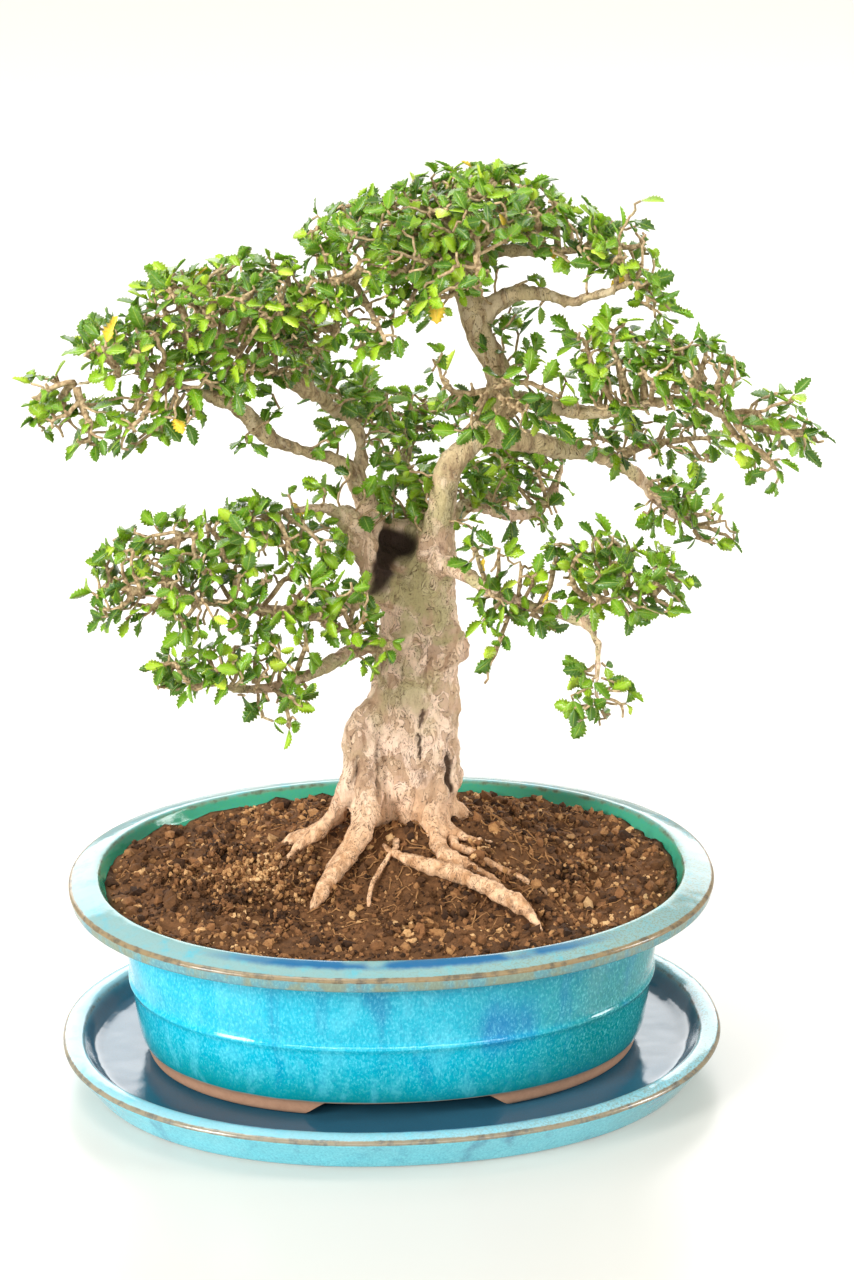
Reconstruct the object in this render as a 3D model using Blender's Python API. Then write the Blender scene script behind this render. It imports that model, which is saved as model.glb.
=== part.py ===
"""A bonsai tree in an oval glazed pot that stands on its oval drip tray.

Metres, +Z up. The origin is the middle of the tray's flat underside. +X runs along the pot's
length and -Y is the tree's front. Routes and foliage lumps are listed in millimetres, as a
potter and a gardener would note them, and MM turns them into metres.
"""

from math import cos, exp, pi, sin

import bmesh
import bpy
from mathutils import Matrix, Vector, noise

MM = 0.001

# The gap between two pieces that touch.
CLEARANCE = 0.3 * MM
# The gap between the wood and what it grows through.
WOOD_CLEARANCE = 0.8 * MM
# The gap between two pads of foliage that meet.
FOLIAGE_CLEARANCE = 0.8 * MM

# Ovals: all of them are superellipses, a little fuller than an ellipse.
OVAL_POWER = 2.14
OVAL_POINTS = 48

# Drip tray.
TRAY_LENGTH = 207 * MM
TRAY_WIDTH = 156 * MM
TRAY_HEIGHT = 14 * MM
TRAY_FLOOR = 7.2 * MM
TRAY_WALL_LEAN = 10 * MM
TRAY_RIM_WIDTH = 6.5 * MM
TRAY_INNER_LEAN = 4 * MM

# Pot.
POT_LENGTH = 200 * MM
POT_WIDTH = 152 * MM
POT_HEIGHT = 60 * MM
RIM_WIDTH = 9 * MM
RIM_DROP = 2.4 * MM
RIM_BAND = 4.8 * MM
RIM_OVERHANG = 16.5 * MM
BODY_TAPER = 5 * MM
WALL = 4.5 * MM
FLOOR = 5 * MM
FOOT_HEIGHT = 6.2 * MM
FOOT_WIDTH = 8 * MM
FOOT_OPENING = 60 * MM
FOOT_OPENING_SLANT = 5 * MM
DRAIN_RADIUS = 6 * MM
DRAIN_SPACING = 76 * MM

# Plastic mesh over each drainage hole.
MESH_THICKNESS = 1.2 * MM
MESH_HOLE = 3.2 * MM
MESH_STRAND = 1.4 * MM
MESH_COUNT = 3

# Soil.
SOIL_BELOW_RIM = 4 * MM
MOUND_HEIGHT = 17.5 * MM
MOUND_CENTRE = (8 * MM, 11 * MM)
MOUND_SPREAD = (38 * MM, 31 * MM)
SOIL_BUMP = 0.7 * MM
SOIL_BUMP_SIZE = 9 * MM
SOIL_RINGS = 7

# Wood.
WOOD_VOXEL = 1.2 * MM
WOOD_TRIANGLES = 4800
TUBE_SIDES = 10

# Foliage.
LUMP_VOXEL = 3.4 * MM
FOLIAGE_TRIANGLES = 170

# Heights that follow from the sizes above.
FOOT_BOTTOM = TRAY_FLOOR + CLEARANCE
POT_TOP = FOOT_BOTTOM + POT_HEIGHT
POT_UNDERSIDE = FOOT_BOTTOM + FOOT_HEIGHT
POT_FLOOR_TOP = POT_UNDERSIDE + FLOOR
SOIL_LEVEL = POT_TOP - SOIL_BELOW_RIM

# The tree is drawn with its roots on a soil level of 63.5 mm, and is lifted with the soil.
DRAWN_SOIL_LEVEL = 63.5 * MM
TREE_LIFT = SOIL_LEVEL - DRAWN_SOIL_LEVEL

# Each route is a list of (x, y, z, radius) in millimetres, from where it leaves the wood to its tip.
TRUNK = [
    (10, 13, 60, 8), (10, 13, 72, 9.5), (10, 13, 80, 11.4), (10.2, 13, 89, 13.1),
    (9, 13.5, 105, 13.3), (8.5, 14, 117, 14.1), (9, 14, 131, 13.1), (10, 14, 144, 12.4),
    (10.5, 14, 156, 11.2),
]
KNOT = [(14, 10, 137, 9), (20, 8, 137, 7.5), (23, 7, 137, 5)]
ROOTS = {
    "web": [(-3, 10, 113, 5), (-6, 9, 105, 5.4), (-6.5, 8, 96, 5.6), (-6, 7, 87, 6), (-5, 7, 79, 5)],
    "buttress": [(-2.5, 12, 116.1, 4.2), (-6.5, 10, 113.7, 4.5), (-10.2, 8, 109.3, 4.5),
                 (-11.4, 6, 104.7, 4), (-11, 5, 99.3, 3.7), (-11.8, 4, 93.9, 3.2)],
    "left": [(-12.5, 4, 98.1, 2.8), (-14.9, 3, 91.1, 2.5), (-17.7, 3, 83.7, 2.8), (-21.9, 5, 77.9, 2.8),
             (-27.2, 6.7, 72.7, 2.3), (-31.8, 2.2, 70.3, 1.7), (-36.1, -4.2, 67.9, 1.3),
             (-40.2, -7.8, 65.9, 1.3)],
    "middle": [(-10.7, 3, 96, 2.6), (-10.3, 1, 89.3, 2.5), (-11.5, -2, 83.1, 2), (-14.5, -5, 79.1, 1.7),
               (-17.2, -4.2, 74.3, 1.5), (-20.5, -8.2, 71.2, 1.3), (-22.5, -8.5, 68, 1.3)],
    "front_left": [(-5.8, 2, 90.4, 2.6), (-5.9, -1, 86.6, 2.9), (-8.7, -5, 81, 3.1),
                   (-13.6, -8.2, 75.5, 3.2), (-19, -13.8, 71.9, 3.2), (-22.9, -20, 69.1, 2.9),
                   (-25.6, -25, 67, 2.4), (-27.5, -25.2, 64.3, 1.5)],
    "left_back": [(-13.6, 12, 81.3, 3.1), (-19.7, 14, 75.6, 2.8), (-26.2, 11.2, 73.2, 2.8),
                  (-30.4, 13.2, 71.2, 2.7), (-33, 16.2, 68.7, 1.7)],
    "front_right": [(-3.8, -2, 76.1, 1.5), (-0.7, -9.8, 76, 1.8), (3.6, -13.8, 75.6, 2.4),
                    (9.4, -17, 74.5, 2.9), (16.8, -19.8, 73.1, 2.9), (24, -24.2, 71.5, 3),
                    (30.2, -30, 70.1, 3.2), (35, -34.5, 69.1, 3.2), (38.4, -37.8, 66.7, 2.3),
                    (41.1, -43.5, 64.4, 1.3), (42.7, -46, 62.2, 1.3)],
    "front": [(11.4, 4, 84.6, 3.9), (12.6, 0, 80.4, 3.5), (13.4, -4, 76.2, 3.4), (15.2, -12.8, 75.9, 2.6),
              (20.1, -14.2, 74.2, 2.3), (25.9, -16.8, 71.8, 1.9), (31.5, -18.8, 68.6, 1.4),
              (35.3, -19.5, 65.5, 1.3)],
    "right_stub": [(15, 6, 78, 3), (22.3, -3.7, 77, 1.8), (28.7, -2, 75.3, 1.4), (33.1, 2, 72.3, 1.3)],
    "right": [(19, 14, 79, 5), (26, 16, 73, 3.6), (37, 18, 66, 2.6), (48, 20, 58, 1.8)],
    "back": [(9, 24, 80, 6), (4, 34, 73, 4.2), (-4, 44, 65, 2.8), (-9, 52, 56, 2)],
}
LIMBS = {
    "left_stub": [(2, 9, 151.5, 4.6), (-2.6, 8, 160.9, 5), (-7.6, 6, 169.8, 4.8), (-11.1, 4, 177, 4.5),
                  (-13.8, 3, 182.2, 4)],
    "left": [(1.7, 14, 161, 4.6), (-2, 15, 170.5, 4.2), (-5.7, 15, 179.4, 3.8), (-8.4, 14, 187, 3.5),
             (-11.8, 13, 193.4, 2.9), (-16.4, 12, 196.2, 2.5), (-23.3, 9, 199.3, 2.2),
             (-30.2, 6, 202.5, 2.5), (-36.2, 4, 206.4, 2.8), (-40.6, 2, 211.5, 2.9),
             (-44.7, 0, 217.2, 2.9), (-51, -3, 220.6, 2.3), (-58.3, -6, 224.4, 2), (-66.2, -9, 229.4, 1.7),
             (-74.9, -11, 231.7, 1.4), (-83.6, -13, 231.1, 1.4), (-92.2, -14, 229.4, 1.4)],
    "left_fork": [(-26, 9, 218.9, 2.2), (-24.1, 10, 223.2, 1.9), (-20.7, 10, 227.7, 1.8),
                  (-17.2, 9, 232.1, 1.7), (-15.6, 8, 236.6, 1.9), (-14.8, 6, 240.9, 1.6),
                  (-15.9, 2, 248.9, 1.4), (-21.2, -2, 256.9, 1.4)],
    "left_riser": [(-9.5, 15, 188.3, 2.6), (-7.1, 18, 192, 2.5), (-7.2, 22, 197, 2.3),
                   (-7.7, 25, 201.6, 2.2), (-11.5, 26, 205.4, 2.1), (-16.8, 20, 210.1, 2.3),
                   (-19.1, 14, 214.8, 2.5), (-24.1, 10, 218.5, 3), (-29.1, 7, 222.3, 2.8),
                   (-33.6, 4, 226, 2.4), (-41.1, 1, 230.9, 1.9), (-49.9, -2, 236.6, 1.6),
                   (-60, -4, 240.5, 1.4)],
    "back_left": [(-7.9, 20, 196.1, 1.8), (-5.8, 27, 198.5, 1.5), (-7.9, 34, 202.8, 1.4),
                  (-11.2, 40, 205.8, 1.4), (-15.5, 44, 207.9, 1.4), (-20.6, 48, 212, 1.4)],
    "right": [(13.1, 13, 160.2, 5), (15.6, 12, 168.5, 5), (16.3, 11, 176, 4.8), (16.6, 10, 183.5, 4.5),
              (17, 9, 190.2, 4.4), (19.3, 8, 196, 4.2), (23.8, 8, 200.2, 3.9), (28.7, 8, 203.5, 3.4)],
    "saddle": [(-7, 17, 170, 4.6), (-1, 20, 168, 5.6), (6, 21, 168, 5.8), (13, 18, 168, 5.6)],
    "saddle_low": [(-3, 18, 160, 6.5), (3, 19, 161, 7), (10, 18, 160, 7)],
    "collar": [(11, 13.5, 154, 11), (13.5, 12.5, 163, 8.6), (15, 12, 171, 6.2), (16, 11, 178, 4.8)],
    "leader": [(28, 8, 203, 5), (33, 8, 214, 4.2), (33, 8, 224, 4.2), (28, 8, 233, 4.4), (25, 8, 242, 4),
               (22, 8, 252, 3.4), (19, 8, 261, 2.8), (17, 8, 272, 2.2)],
    "crown_right": [(26, 8, 238, 3.6), (32, 6, 245, 3.2), (38, 3, 249, 2.8), (45, 0, 249, 2.5),
                    (53, -4, 247, 2.2), (61, -8, 251, 1.9), (71, -10, 255, 1.6)],
    "crown_middle": [(22, 8, 255, 2.8), (33, 6, 261, 2.4), (49, 2, 261, 2.1), (65, -2, 264, 1.7)],
    "crown_left": [(23, 8, 249, 2.8), (8, 4, 256, 2.4), (-6, 0, 257, 2.1), (-18, -3, 255, 1.7)],
    "crown_back": [(20, 10, 255, 2.8), (15, 24, 261, 2.3), (9, 38, 263, 1.8)],
    "crown_front": [(19, 6, 259, 2.6), (20, -8, 262, 2.2), (23, -20, 262, 1.7)],
    "right_upper": [(30, 8, 207, 4), (39, 6, 215, 3.1), (46, 2, 215, 2.9), (54, -4, 214, 2.7),
                    (62, -10, 215, 2.4), (73, -15, 219, 2.1), (86, -17, 221, 1.8), (98, -18, 215, 1.6)],
    "right_low": [(29, 8, 204, 4.2), (42, 12, 200, 3.7), (53, 16, 196, 3.3), (63, 20, 193, 3),
                  (72, 22, 189, 2.7), (80, 24, 182, 2.4), (86, 24, 174, 2.1), (96, 22, 167, 1.7)],
    "right_back": [(16, 15, 170, 4), (24, 24, 176, 3), (32, 31, 173, 2.6), (40, 37, 168, 2.4),
                   (47, 42, 166, 2.1), (55, 47, 171, 1.9), (59, 52, 180, 1.6)],
    "back": [(10.5, 18, 162.5, 3.8), (9.9, 24, 168.5, 2.8), (11.6, 30, 174.5, 2.3), (11.4, 36, 179, 2.2),
             (8.1, 42, 182.8, 2.2), (4, 48, 185, 1.9), (0.6, 54, 186.5, 1.4), (-6, 60, 188, 1.4)],
    "back_twig": [(9.3, 38, 182.4, 1.7), (7.3, 42, 187.7, 1.4), (6.9, 46, 192.1, 1.4),
                  (8.1, 50, 195.7, 1.4)],
    "right_lower": [(9.9, 12, 160.6, 4.6), (15.2, 4, 164.9, 3.8), (20.4, -4, 165.2, 3.1),
                    (25, -11, 163.6, 2.7), (29.6, -16, 162.9, 2.2), (36, -18.5, 160, 2.3),
                    (43, -20, 157.5, 2.2), (50, -21.5, 156, 2.1), (57, -23, 158, 2), (66, -24, 163, 1.8),
                    (76, -24, 164, 1.5)],
    "hanging": [(50, -21.5, 156, 2.1), (56, -26, 155, 1.9), (59, -29, 150, 1.8), (59, -31, 143, 1.7),
                (58, -32, 136, 1.6), (60, -32, 130, 1.4)],
    "low_left_top": [(-10.3, 5, 175.8, 2.7), (-15.1, 1, 182.9, 2.4), (-20.6, -4, 186.4, 1.9),
                     (-27.5, -8, 187.2, 1.9), (-33.7, -12, 188, 1.6), (-42.7, -16, 187.3, 1.4),
                     (-53.1, -20, 185.9, 1.4), (-63.4, -23, 185, 1.4)],
    "low_left_middle": [(-1, 8, 157, 4.6), (-11, 0, 155, 3.4), (-23, -8, 154, 2.8), (-34, -16, 158, 2.4),
                        (-47, -23, 163, 2), (-62, -28, 168, 1.7), (-76, -30, 170, 1.4)],
    "low_left_under": [(3, 6, 138, 4), (-5, -4, 143, 3), (-14, -12, 143, 2.6), (-24, -19, 140, 2.4),
                       (-35, -25, 138, 2.1), (-47, -29, 139, 1.8), (-59, -31, 143, 1.4)],
}
# The rotted hollow in the fork, and the hole in the knot: (x, y, z, radius), cut along each route.
HOLLOWS = {
    "fork": [(-3.5, -3, 158.5, 1.2), (-1.6, 0, 162.2, 2.1), (0.9, 4, 166.2, 3.5), (2.4, 8, 169.6, 4.2),
             (3.2, 13, 173.4, 4.2)],
    "knot": [(23, -8, 138, 2.4), (22, 6, 137, 2.6)],
}

# Each pad of foliage is one closed solid, the union of lumps (x, y, z, half length, half depth, half height).
FOLIAGE = {
    "crown": [(27, 8, 274, 26, 30, 10), (-3, 0, 268, 23, 28, 9), (59, 0, 265, 20, 22, 7),
              (13, -14, 258, 18, 18, 9), (18, 30, 264, 27, 20, 11), (73, -4, 255, 8, 12, 8),
              (79, -6, 244, 6, 9, 6), (-15, -8, 256, 14, 15, 9), (-6, -16, 243, 10, 12, 10)],
    "upper_left": [(-37, 2, 251, 15, 24, 11), (-54, 2, 249, 19, 27, 10), (-76, -6, 238, 17, 23, 8),
                   (-50, -4, 232, 19, 20, 9), (-29, 2, 235, 13, 18, 10)],
    "left_tip": [(-95, -12, 220, 11, 13, 9), (-80, -14, 217, 17, 16, 8), (-65, -12, 221, 12, 14, 8),
                 (-102, -12, 229, 7, 9, 5)],
    "back_left": [(-40, 50, 231, 23, 17, 11), (-27, 46, 227, 15, 14, 10)],
    "centre": [(22, -10, 217, 10, 11, 9), (40, -16, 219, 13, 10, 9), (14, -12, 230, 5, 7, 10),
               (35, -13, 227, 6, 7, 6)],
    "right_upper": [(66, -14, 227, 14, 18, 11), (85, -16, 228, 18, 20, 12), (61, -16, 240, 12, 10, 6)],
    "right_middle": [(75, 4, 202, 19, 12, 7), (93, 2, 202, 11, 12, 7)],
    "right_tip": [(108, -16, 209, 11, 13, 11), (123, -14, 206, 8, 9, 6), (115, -16, 220, 6, 7, 4),
                  (112, -16, 196, 5, 7, 5)],
    "right_low_tip": [(89, 22, 175, 12, 12, 10), (102, 20, 167, 9, 10, 7)],
    "back_right": [(45, 50, 178, 14, 12, 10), (35, 44, 177, 10, 10, 9), (49, 46, 166, 14, 9, 7)],
    "back": [(3, 56, 197, 17, 14, 8), (17, 54, 194, 12, 12, 7), (-9, 56, 202, 12, 12, 7)],
    "low_left": [(-46, -18, 183, 19, 16, 10), (-69, -22, 177, 19, 18, 13), (-28, -18, 180, 12, 12, 10),
                 (-57, -28, 167, 22, 15, 10), (-38, -26, 167, 18, 12, 9), (-84, -24, 167, 8, 11, 10)],
    "low_left_under": [(-50, -32, 147, 22, 13, 9), (-34, -30, 135, 11, 10, 9), (-67, -32, 146, 9, 11, 8),
                       (-34, -28, 153, 12, 10, 6)],
    "low_left_inner": [(-18, -24, 164, 12, 11, 11), (-7, -20, 148, 9, 9, 7)],
    "low_right": [(33, -24, 163, 12, 11, 11), (57, -28, 173, 16, 14, 13), (75, -26, 166, 12, 13, 13),
                  (26, -23, 176, 8, 8, 8), (26, -29, 145, 5, 5, 13)],
    "hanging": [(59, -33, 134, 12, 10, 11)],
}

MATERIALS = {
    # name: (colour, roughness, metallic)
    "glaze": ((0.05, 0.55, 0.66), 0.18, 0.0),
    "mesh_plastic": ((0.03, 0.03, 0.03), 0.6, 0.0),
    "soil": ((0.16, 0.09, 0.05), 0.95, 0.0),
    "bark": ((0.50, 0.38, 0.27), 0.85, 0.0),
    "leaf": ((0.12, 0.36, 0.05), 0.45, 0.0),
}


def clear_scene():
    for thing in list(bpy.data.objects):
        bpy.data.objects.remove(thing)


def material(name):
    """The named finish, made once."""
    if name in bpy.data.materials:
        return bpy.data.materials[name]
    colour, roughness, metallic = MATERIALS[name]
    made = bpy.data.materials.new(name)
    made.use_nodes = True
    shader = made.node_tree.nodes["Principled BSDF"]
    shader.inputs["Base Color"].default_value = (*colour, 1)
    shader.inputs["Roughness"].default_value = roughness
    shader.inputs["Metallic"].default_value = metallic
    return made


def new_object(name, bm, finish=None):
    """An object that holds the bmesh's shape. With no finish it is a helper that isn't rendered."""
    mesh = bpy.data.meshes.new(name)
    bm.to_mesh(mesh)
    bm.free()
    thing = bpy.data.objects.new(name, mesh)
    bpy.context.scene.collection.objects.link(thing)
    if finish is None:
        thing.hide_render = True
        thing.display_type = "WIRE"
    else:
        mesh.materials.append(material(finish))
    return thing


def shade_round(thing, sharp_degrees):
    thing.data.shade_smooth()
    thing.data.set_sharp_from_angle(angle=sharp_degrees * pi / 180)


def cut(thing, cutter):
    """A Boolean that takes the cutter's shape out of the thing."""
    modifier = thing.modifiers.new("cut_" + cutter.name, "BOOLEAN")
    modifier.operation = "DIFFERENCE"
    modifier.solver = "EXACT"
    modifier.object = cutter


def evaluated_bmesh(thing):
    """The thing's shape with its modifiers applied."""
    bpy.context.view_layer.update()
    graph = bpy.context.evaluated_depsgraph_get()
    bm = bmesh.new()
    bm.from_object(thing, graph)
    return bm


# Ovals ----------------------------------------------------------------------------------------


def oval_point(half_length, half_width, angle):
    """A point of the oval, going round it with the angle."""

    def stretch(value):
        return abs(value) ** (2 / OVAL_POWER) * (1 if value >= 0 else -1)

    return half_length * stretch(cos(angle)), half_width * stretch(sin(angle))


def oval_ring(bm, half_length, half_width, height):
    """One ring of vertices. The height is a number, or a function of x and y."""
    ring = []
    for step in range(OVAL_POINTS):
        x, y = oval_point(half_length, half_width, 2 * pi * step / OVAL_POINTS)
        z = height(x, y) if callable(height) else height
        ring.append(bm.verts.new((x, y, z)))
    return ring


def join_rings(bm, lower, upper):
    """A band of quads that face away from the axis when the second ring is the higher."""
    for i in range(len(lower)):
        j = (i + 1) % len(lower)
        bm.faces.new((lower[i], lower[j], upper[j], upper[i]))


def oval_vessel(name, length, width, profile, finish):
    """A closed oval shell from a profile of (inset, z), which runs from under the floor, up the outside,
    over the rim and down the inside to the floor's top. Both ends are closed by a flat face."""
    bm = bmesh.new()
    rings = [oval_ring(bm, length / 2 - inset, width / 2 - inset, z) for inset, z in profile]
    for lower, upper in zip(rings, rings[1:]):
        join_rings(bm, lower, upper)
    bm.faces.new(reversed(rings[0]))
    bm.faces.new(rings[-1])
    thing = new_object(name, bm, finish)
    return thing


# Drip tray ------------------------------------------------------------------------------------


def tray_profile():
    base_inset = TRAY_WALL_LEAN
    rim_edge = TRAY_HEIGHT - 1.6 * MM
    inner_top = TRAY_RIM_WIDTH
    return [
        (base_inset, 0),
        (base_inset - 1.2 * MM, 0.6 * MM),
        (1.2 * MM, rim_edge - 2.0 * MM),
        (0, rim_edge),
        (1.0 * MM, TRAY_HEIGHT - 0.5 * MM),
        (2.8 * MM, TRAY_HEIGHT),
        (inner_top, TRAY_HEIGHT - 1.2 * MM),
        (inner_top + TRAY_INNER_LEAN * 0.6, TRAY_FLOOR + 2.6 * MM),
        (inner_top + TRAY_INNER_LEAN + 1 * MM, TRAY_FLOOR),
    ]


def build_tray():
    thing = oval_vessel("drip_tray", TRAY_LENGTH, TRAY_WIDTH, tray_profile(), "glaze")
    shade_round(thing, 40)


# Pot ------------------------------------------------------------------------------------------


def pot_outer_inset(z):
    """How far the body's outside lies inside the rim's edge at a height between foot and rim."""
    rise = (z - POT_UNDERSIDE) / (POT_TOP - POT_UNDERSIDE)
    belly = 1 - rise
    return RIM_OVERHANG + BODY_TAPER * belly**2.2


def pot_inner_profile():
    """(inset, z) down the inside, from the rim's inner edge to the floor."""
    throat = POT_TOP - RIM_DROP - RIM_BAND - 6 * MM
    waist = (throat + POT_FLOOR_TOP) / 2
    foot_inset = pot_outer_inset(POT_FLOOR_TOP) + WALL
    return [
        (RIM_WIDTH, POT_TOP - 0.2 * MM),
        (RIM_WIDTH + 0.8 * MM, POT_TOP - 1.4 * MM),
        (RIM_WIDTH + 2.2 * MM, POT_TOP - 4.6 * MM),
        (RIM_OVERHANG + WALL * 0.4, throat + 3 * MM),
        (pot_outer_inset(throat) + WALL, throat),
        (pot_outer_inset(waist) + WALL, waist),
        (foot_inset, POT_FLOOR_TOP + 4 * MM),
        (foot_inset + 4 * MM, POT_FLOOR_TOP),
    ]


def pot_profile():
    rim_edge = POT_TOP - RIM_DROP
    band_foot = rim_edge - RIM_BAND
    neck = band_foot - 4 * MM
    waist = (neck + POT_UNDERSIDE) / 2
    foot_outer = pot_outer_inset(POT_UNDERSIDE) + 1.0 * MM
    return [
        (foot_outer + FOOT_WIDTH, POT_UNDERSIDE),
        (foot_outer + FOOT_WIDTH - 1 * MM, FOOT_BOTTOM),
        (foot_outer + 1.2 * MM, FOOT_BOTTOM),
        (foot_outer, POT_UNDERSIDE - 1 * MM),
        (pot_outer_inset(POT_UNDERSIDE + 1 * MM), POT_UNDERSIDE + 0.4 * MM),
        (pot_outer_inset(POT_UNDERSIDE + 8 * MM), POT_UNDERSIDE + 8 * MM),
        (pot_outer_inset(waist), waist),
        (pot_outer_inset(neck), neck),
        (RIM_OVERHANG - 4 * MM, band_foot - 1 * MM),
        (2.2 * MM, band_foot),
        (0.4 * MM, band_foot + 1.6 * MM),
        (0, rim_edge),
        (2.6 * MM, POT_TOP - 0.9 * MM),
        (5.6 * MM, POT_TOP),
    ] + pot_inner_profile()


def foot_opening_cutter():
    """A long bar with slanted ends, which opens the foot ring at the front and at the back."""
    top = POT_UNDERSIDE - 0.5 * MM
    bottom = FOOT_BOTTOM - 5 * MM
    half_top = FOOT_OPENING / 2 - FOOT_OPENING_SLANT
    half_bottom = FOOT_OPENING / 2 + FOOT_OPENING_SLANT * 5 * MM / FOOT_HEIGHT
    outline = [(-half_bottom, bottom), (half_bottom, bottom), (half_top, top), (-half_top, top)]
    bm = bmesh.new()
    front = [bm.verts.new((x, -POT_WIDTH, z)) for x, z in outline]
    face = bm.faces.new(front)
    grown = bmesh.ops.extrude_face_region(bm, geom=[face])
    moved = [v for v in grown["geom"] if isinstance(v, bmesh.types.BMVert)]
    bmesh.ops.translate(bm, verts=moved, vec=(0, 2 * POT_WIDTH, 0))
    bmesh.ops.recalc_face_normals(bm, faces=bm.faces)
    return new_object("foot_opening_cutter", bm)


def drain_cutter(side):
    bm = bmesh.new()
    middle = (POT_UNDERSIDE + POT_FLOOR_TOP) / 2
    place = Matrix.Translation((side * DRAIN_SPACING / 2, 0, middle))
    bmesh.ops.create_cone(
        bm, cap_ends=True, segments=20, radius1=DRAIN_RADIUS, radius2=DRAIN_RADIUS, depth=3 * FLOOR, matrix=place
    )
    return new_object("drain_cutter_" + ("right" if side > 0 else "left"), bm)


def build_pot():
    thing = oval_vessel("pot", POT_LENGTH, POT_WIDTH, pot_profile(), "glaze")
    shade_round(thing, 40)
    cut(thing, foot_opening_cutter())
    for side in (-1, 1):
        cut(thing, drain_cutter(side))


# Drainage mesh --------------------------------------------------------------------------------

MESH_PITCH = MESH_HOLE + MESH_STRAND
MESH_SIDE = MESH_COUNT * MESH_PITCH + MESH_STRAND


def build_drain_mesh(name, side):
    """A square of plastic mesh lying on the pot's floor over a drainage hole."""
    stops = [0.0]
    for _ in range(MESH_COUNT):
        stops += [stops[-1] + MESH_STRAND, stops[-1] + MESH_PITCH]
    stops.append(stops[-1] + MESH_STRAND)
    bm = bmesh.new()
    grid = [[bm.verts.new((x - MESH_SIDE / 2, y - MESH_SIDE / 2, 0)) for y in stops] for x in stops]
    for i in range(len(stops) - 1):
        for j in range(len(stops) - 1):
            if i % 2 and j % 2:
                continue
            bm.faces.new((grid[i][j], grid[i + 1][j], grid[i + 1][j + 1], grid[i][j + 1]))
    thing = new_object(name, bm, "mesh_plastic")
    thing.location = (side * DRAIN_SPACING / 2, 0, POT_FLOOR_TOP + CLEARANCE)
    thick = thing.modifiers.new("thickness", "SOLIDIFY")
    thick.thickness = MESH_THICKNESS
    thick.offset = 1


def mesh_bed_cutter(side):
    """The room that a drainage mesh takes out of the soil."""
    bm = bmesh.new()
    bmesh.ops.create_cube(bm, size=1)
    reach = MESH_SIDE + 2 * CLEARANCE
    top = POT_FLOOR_TOP + MESH_THICKNESS + 2 * CLEARANCE
    bottom = POT_FLOOR_TOP - 2 * MM
    bmesh.ops.scale(bm, verts=bm.verts, vec=(reach, reach, top - bottom))
    bmesh.ops.translate(bm, verts=bm.verts, vec=(side * DRAIN_SPACING / 2, 0, (top + bottom) / 2))
    return new_object("mesh_bed_cutter_" + ("right" if side > 0 else "left"), bm)


# Soil -----------------------------------------------------------------------------------------


def soil_height(x, y):
    """The soil's top: level at the wall, mounded towards the trunk, with small clods."""
    dx = (x - MOUND_CENTRE[0]) / MOUND_SPREAD[0]
    dy = (y - MOUND_CENTRE[1]) / MOUND_SPREAD[1]
    clods = noise.noise(Vector((x, y, 0)) / SOIL_BUMP_SIZE) * SOIL_BUMP
    return SOIL_LEVEL + MOUND_HEIGHT * exp(-dx * dx - dy * dy) + clods


def inner_inset(z):
    """The inside wall's inset at a height, read off its profile."""
    profile = pot_inner_profile()
    for (upper_inset, upper_z), (lower_inset, lower_z) in zip(profile, profile[1:]):
        if lower_z <= z <= upper_z:
            share = (z - lower_z) / (upper_z - lower_z)
            return lower_inset + (upper_inset - lower_inset) * share
    return profile[-1][0]


def build_soil(wood_cutter):
    """Soil that fills the pot, standing CLEARANCE off its wall and floor."""
    floor_inset = pot_inner_profile()[-1][0]
    sides = [(POT_FLOOR_TOP + CLEARANCE, floor_inset)]
    sides += [(z, inset) for inset, z in reversed(pot_inner_profile()[1:-1]) if z < SOIL_LEVEL - 2 * MM]
    slack = CLEARANCE * 1.6
    bm = bmesh.new()
    rings = [
        oval_ring(bm, POT_LENGTH / 2 - inset - slack, POT_WIDTH / 2 - inset - slack, z) for z, inset in sides
    ]
    edge_inset = inner_inset(SOIL_LEVEL - 1 * MM) + slack
    half_length, half_width = POT_LENGTH / 2 - edge_inset, POT_WIDTH / 2 - edge_inset
    for step in range(SOIL_RINGS):
        share = 1 - step / SOIL_RINGS
        height = SOIL_LEVEL - 1 * MM if step == 0 else soil_height
        rings.append(oval_ring(bm, half_length * share, half_width * share, height))
    for lower, upper in zip(rings, rings[1:]):
        join_rings(bm, lower, upper)
    bm.faces.new(reversed(rings[0]))
    peak = bm.verts.new((0, 0, soil_height(0, 0)))
    last = rings[-1]
    for i in range(OVAL_POINTS):
        bm.faces.new((last[i], last[(i + 1) % OVAL_POINTS], peak))
    thing = new_object("soil", bm, "soil")
    shade_round(thing, 50)
    for side in (-1, 1):
        cut(thing, mesh_bed_cutter(side))
    cut(thing, wood_cutter)


# Wood -----------------------------------------------------------------------------------------


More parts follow.
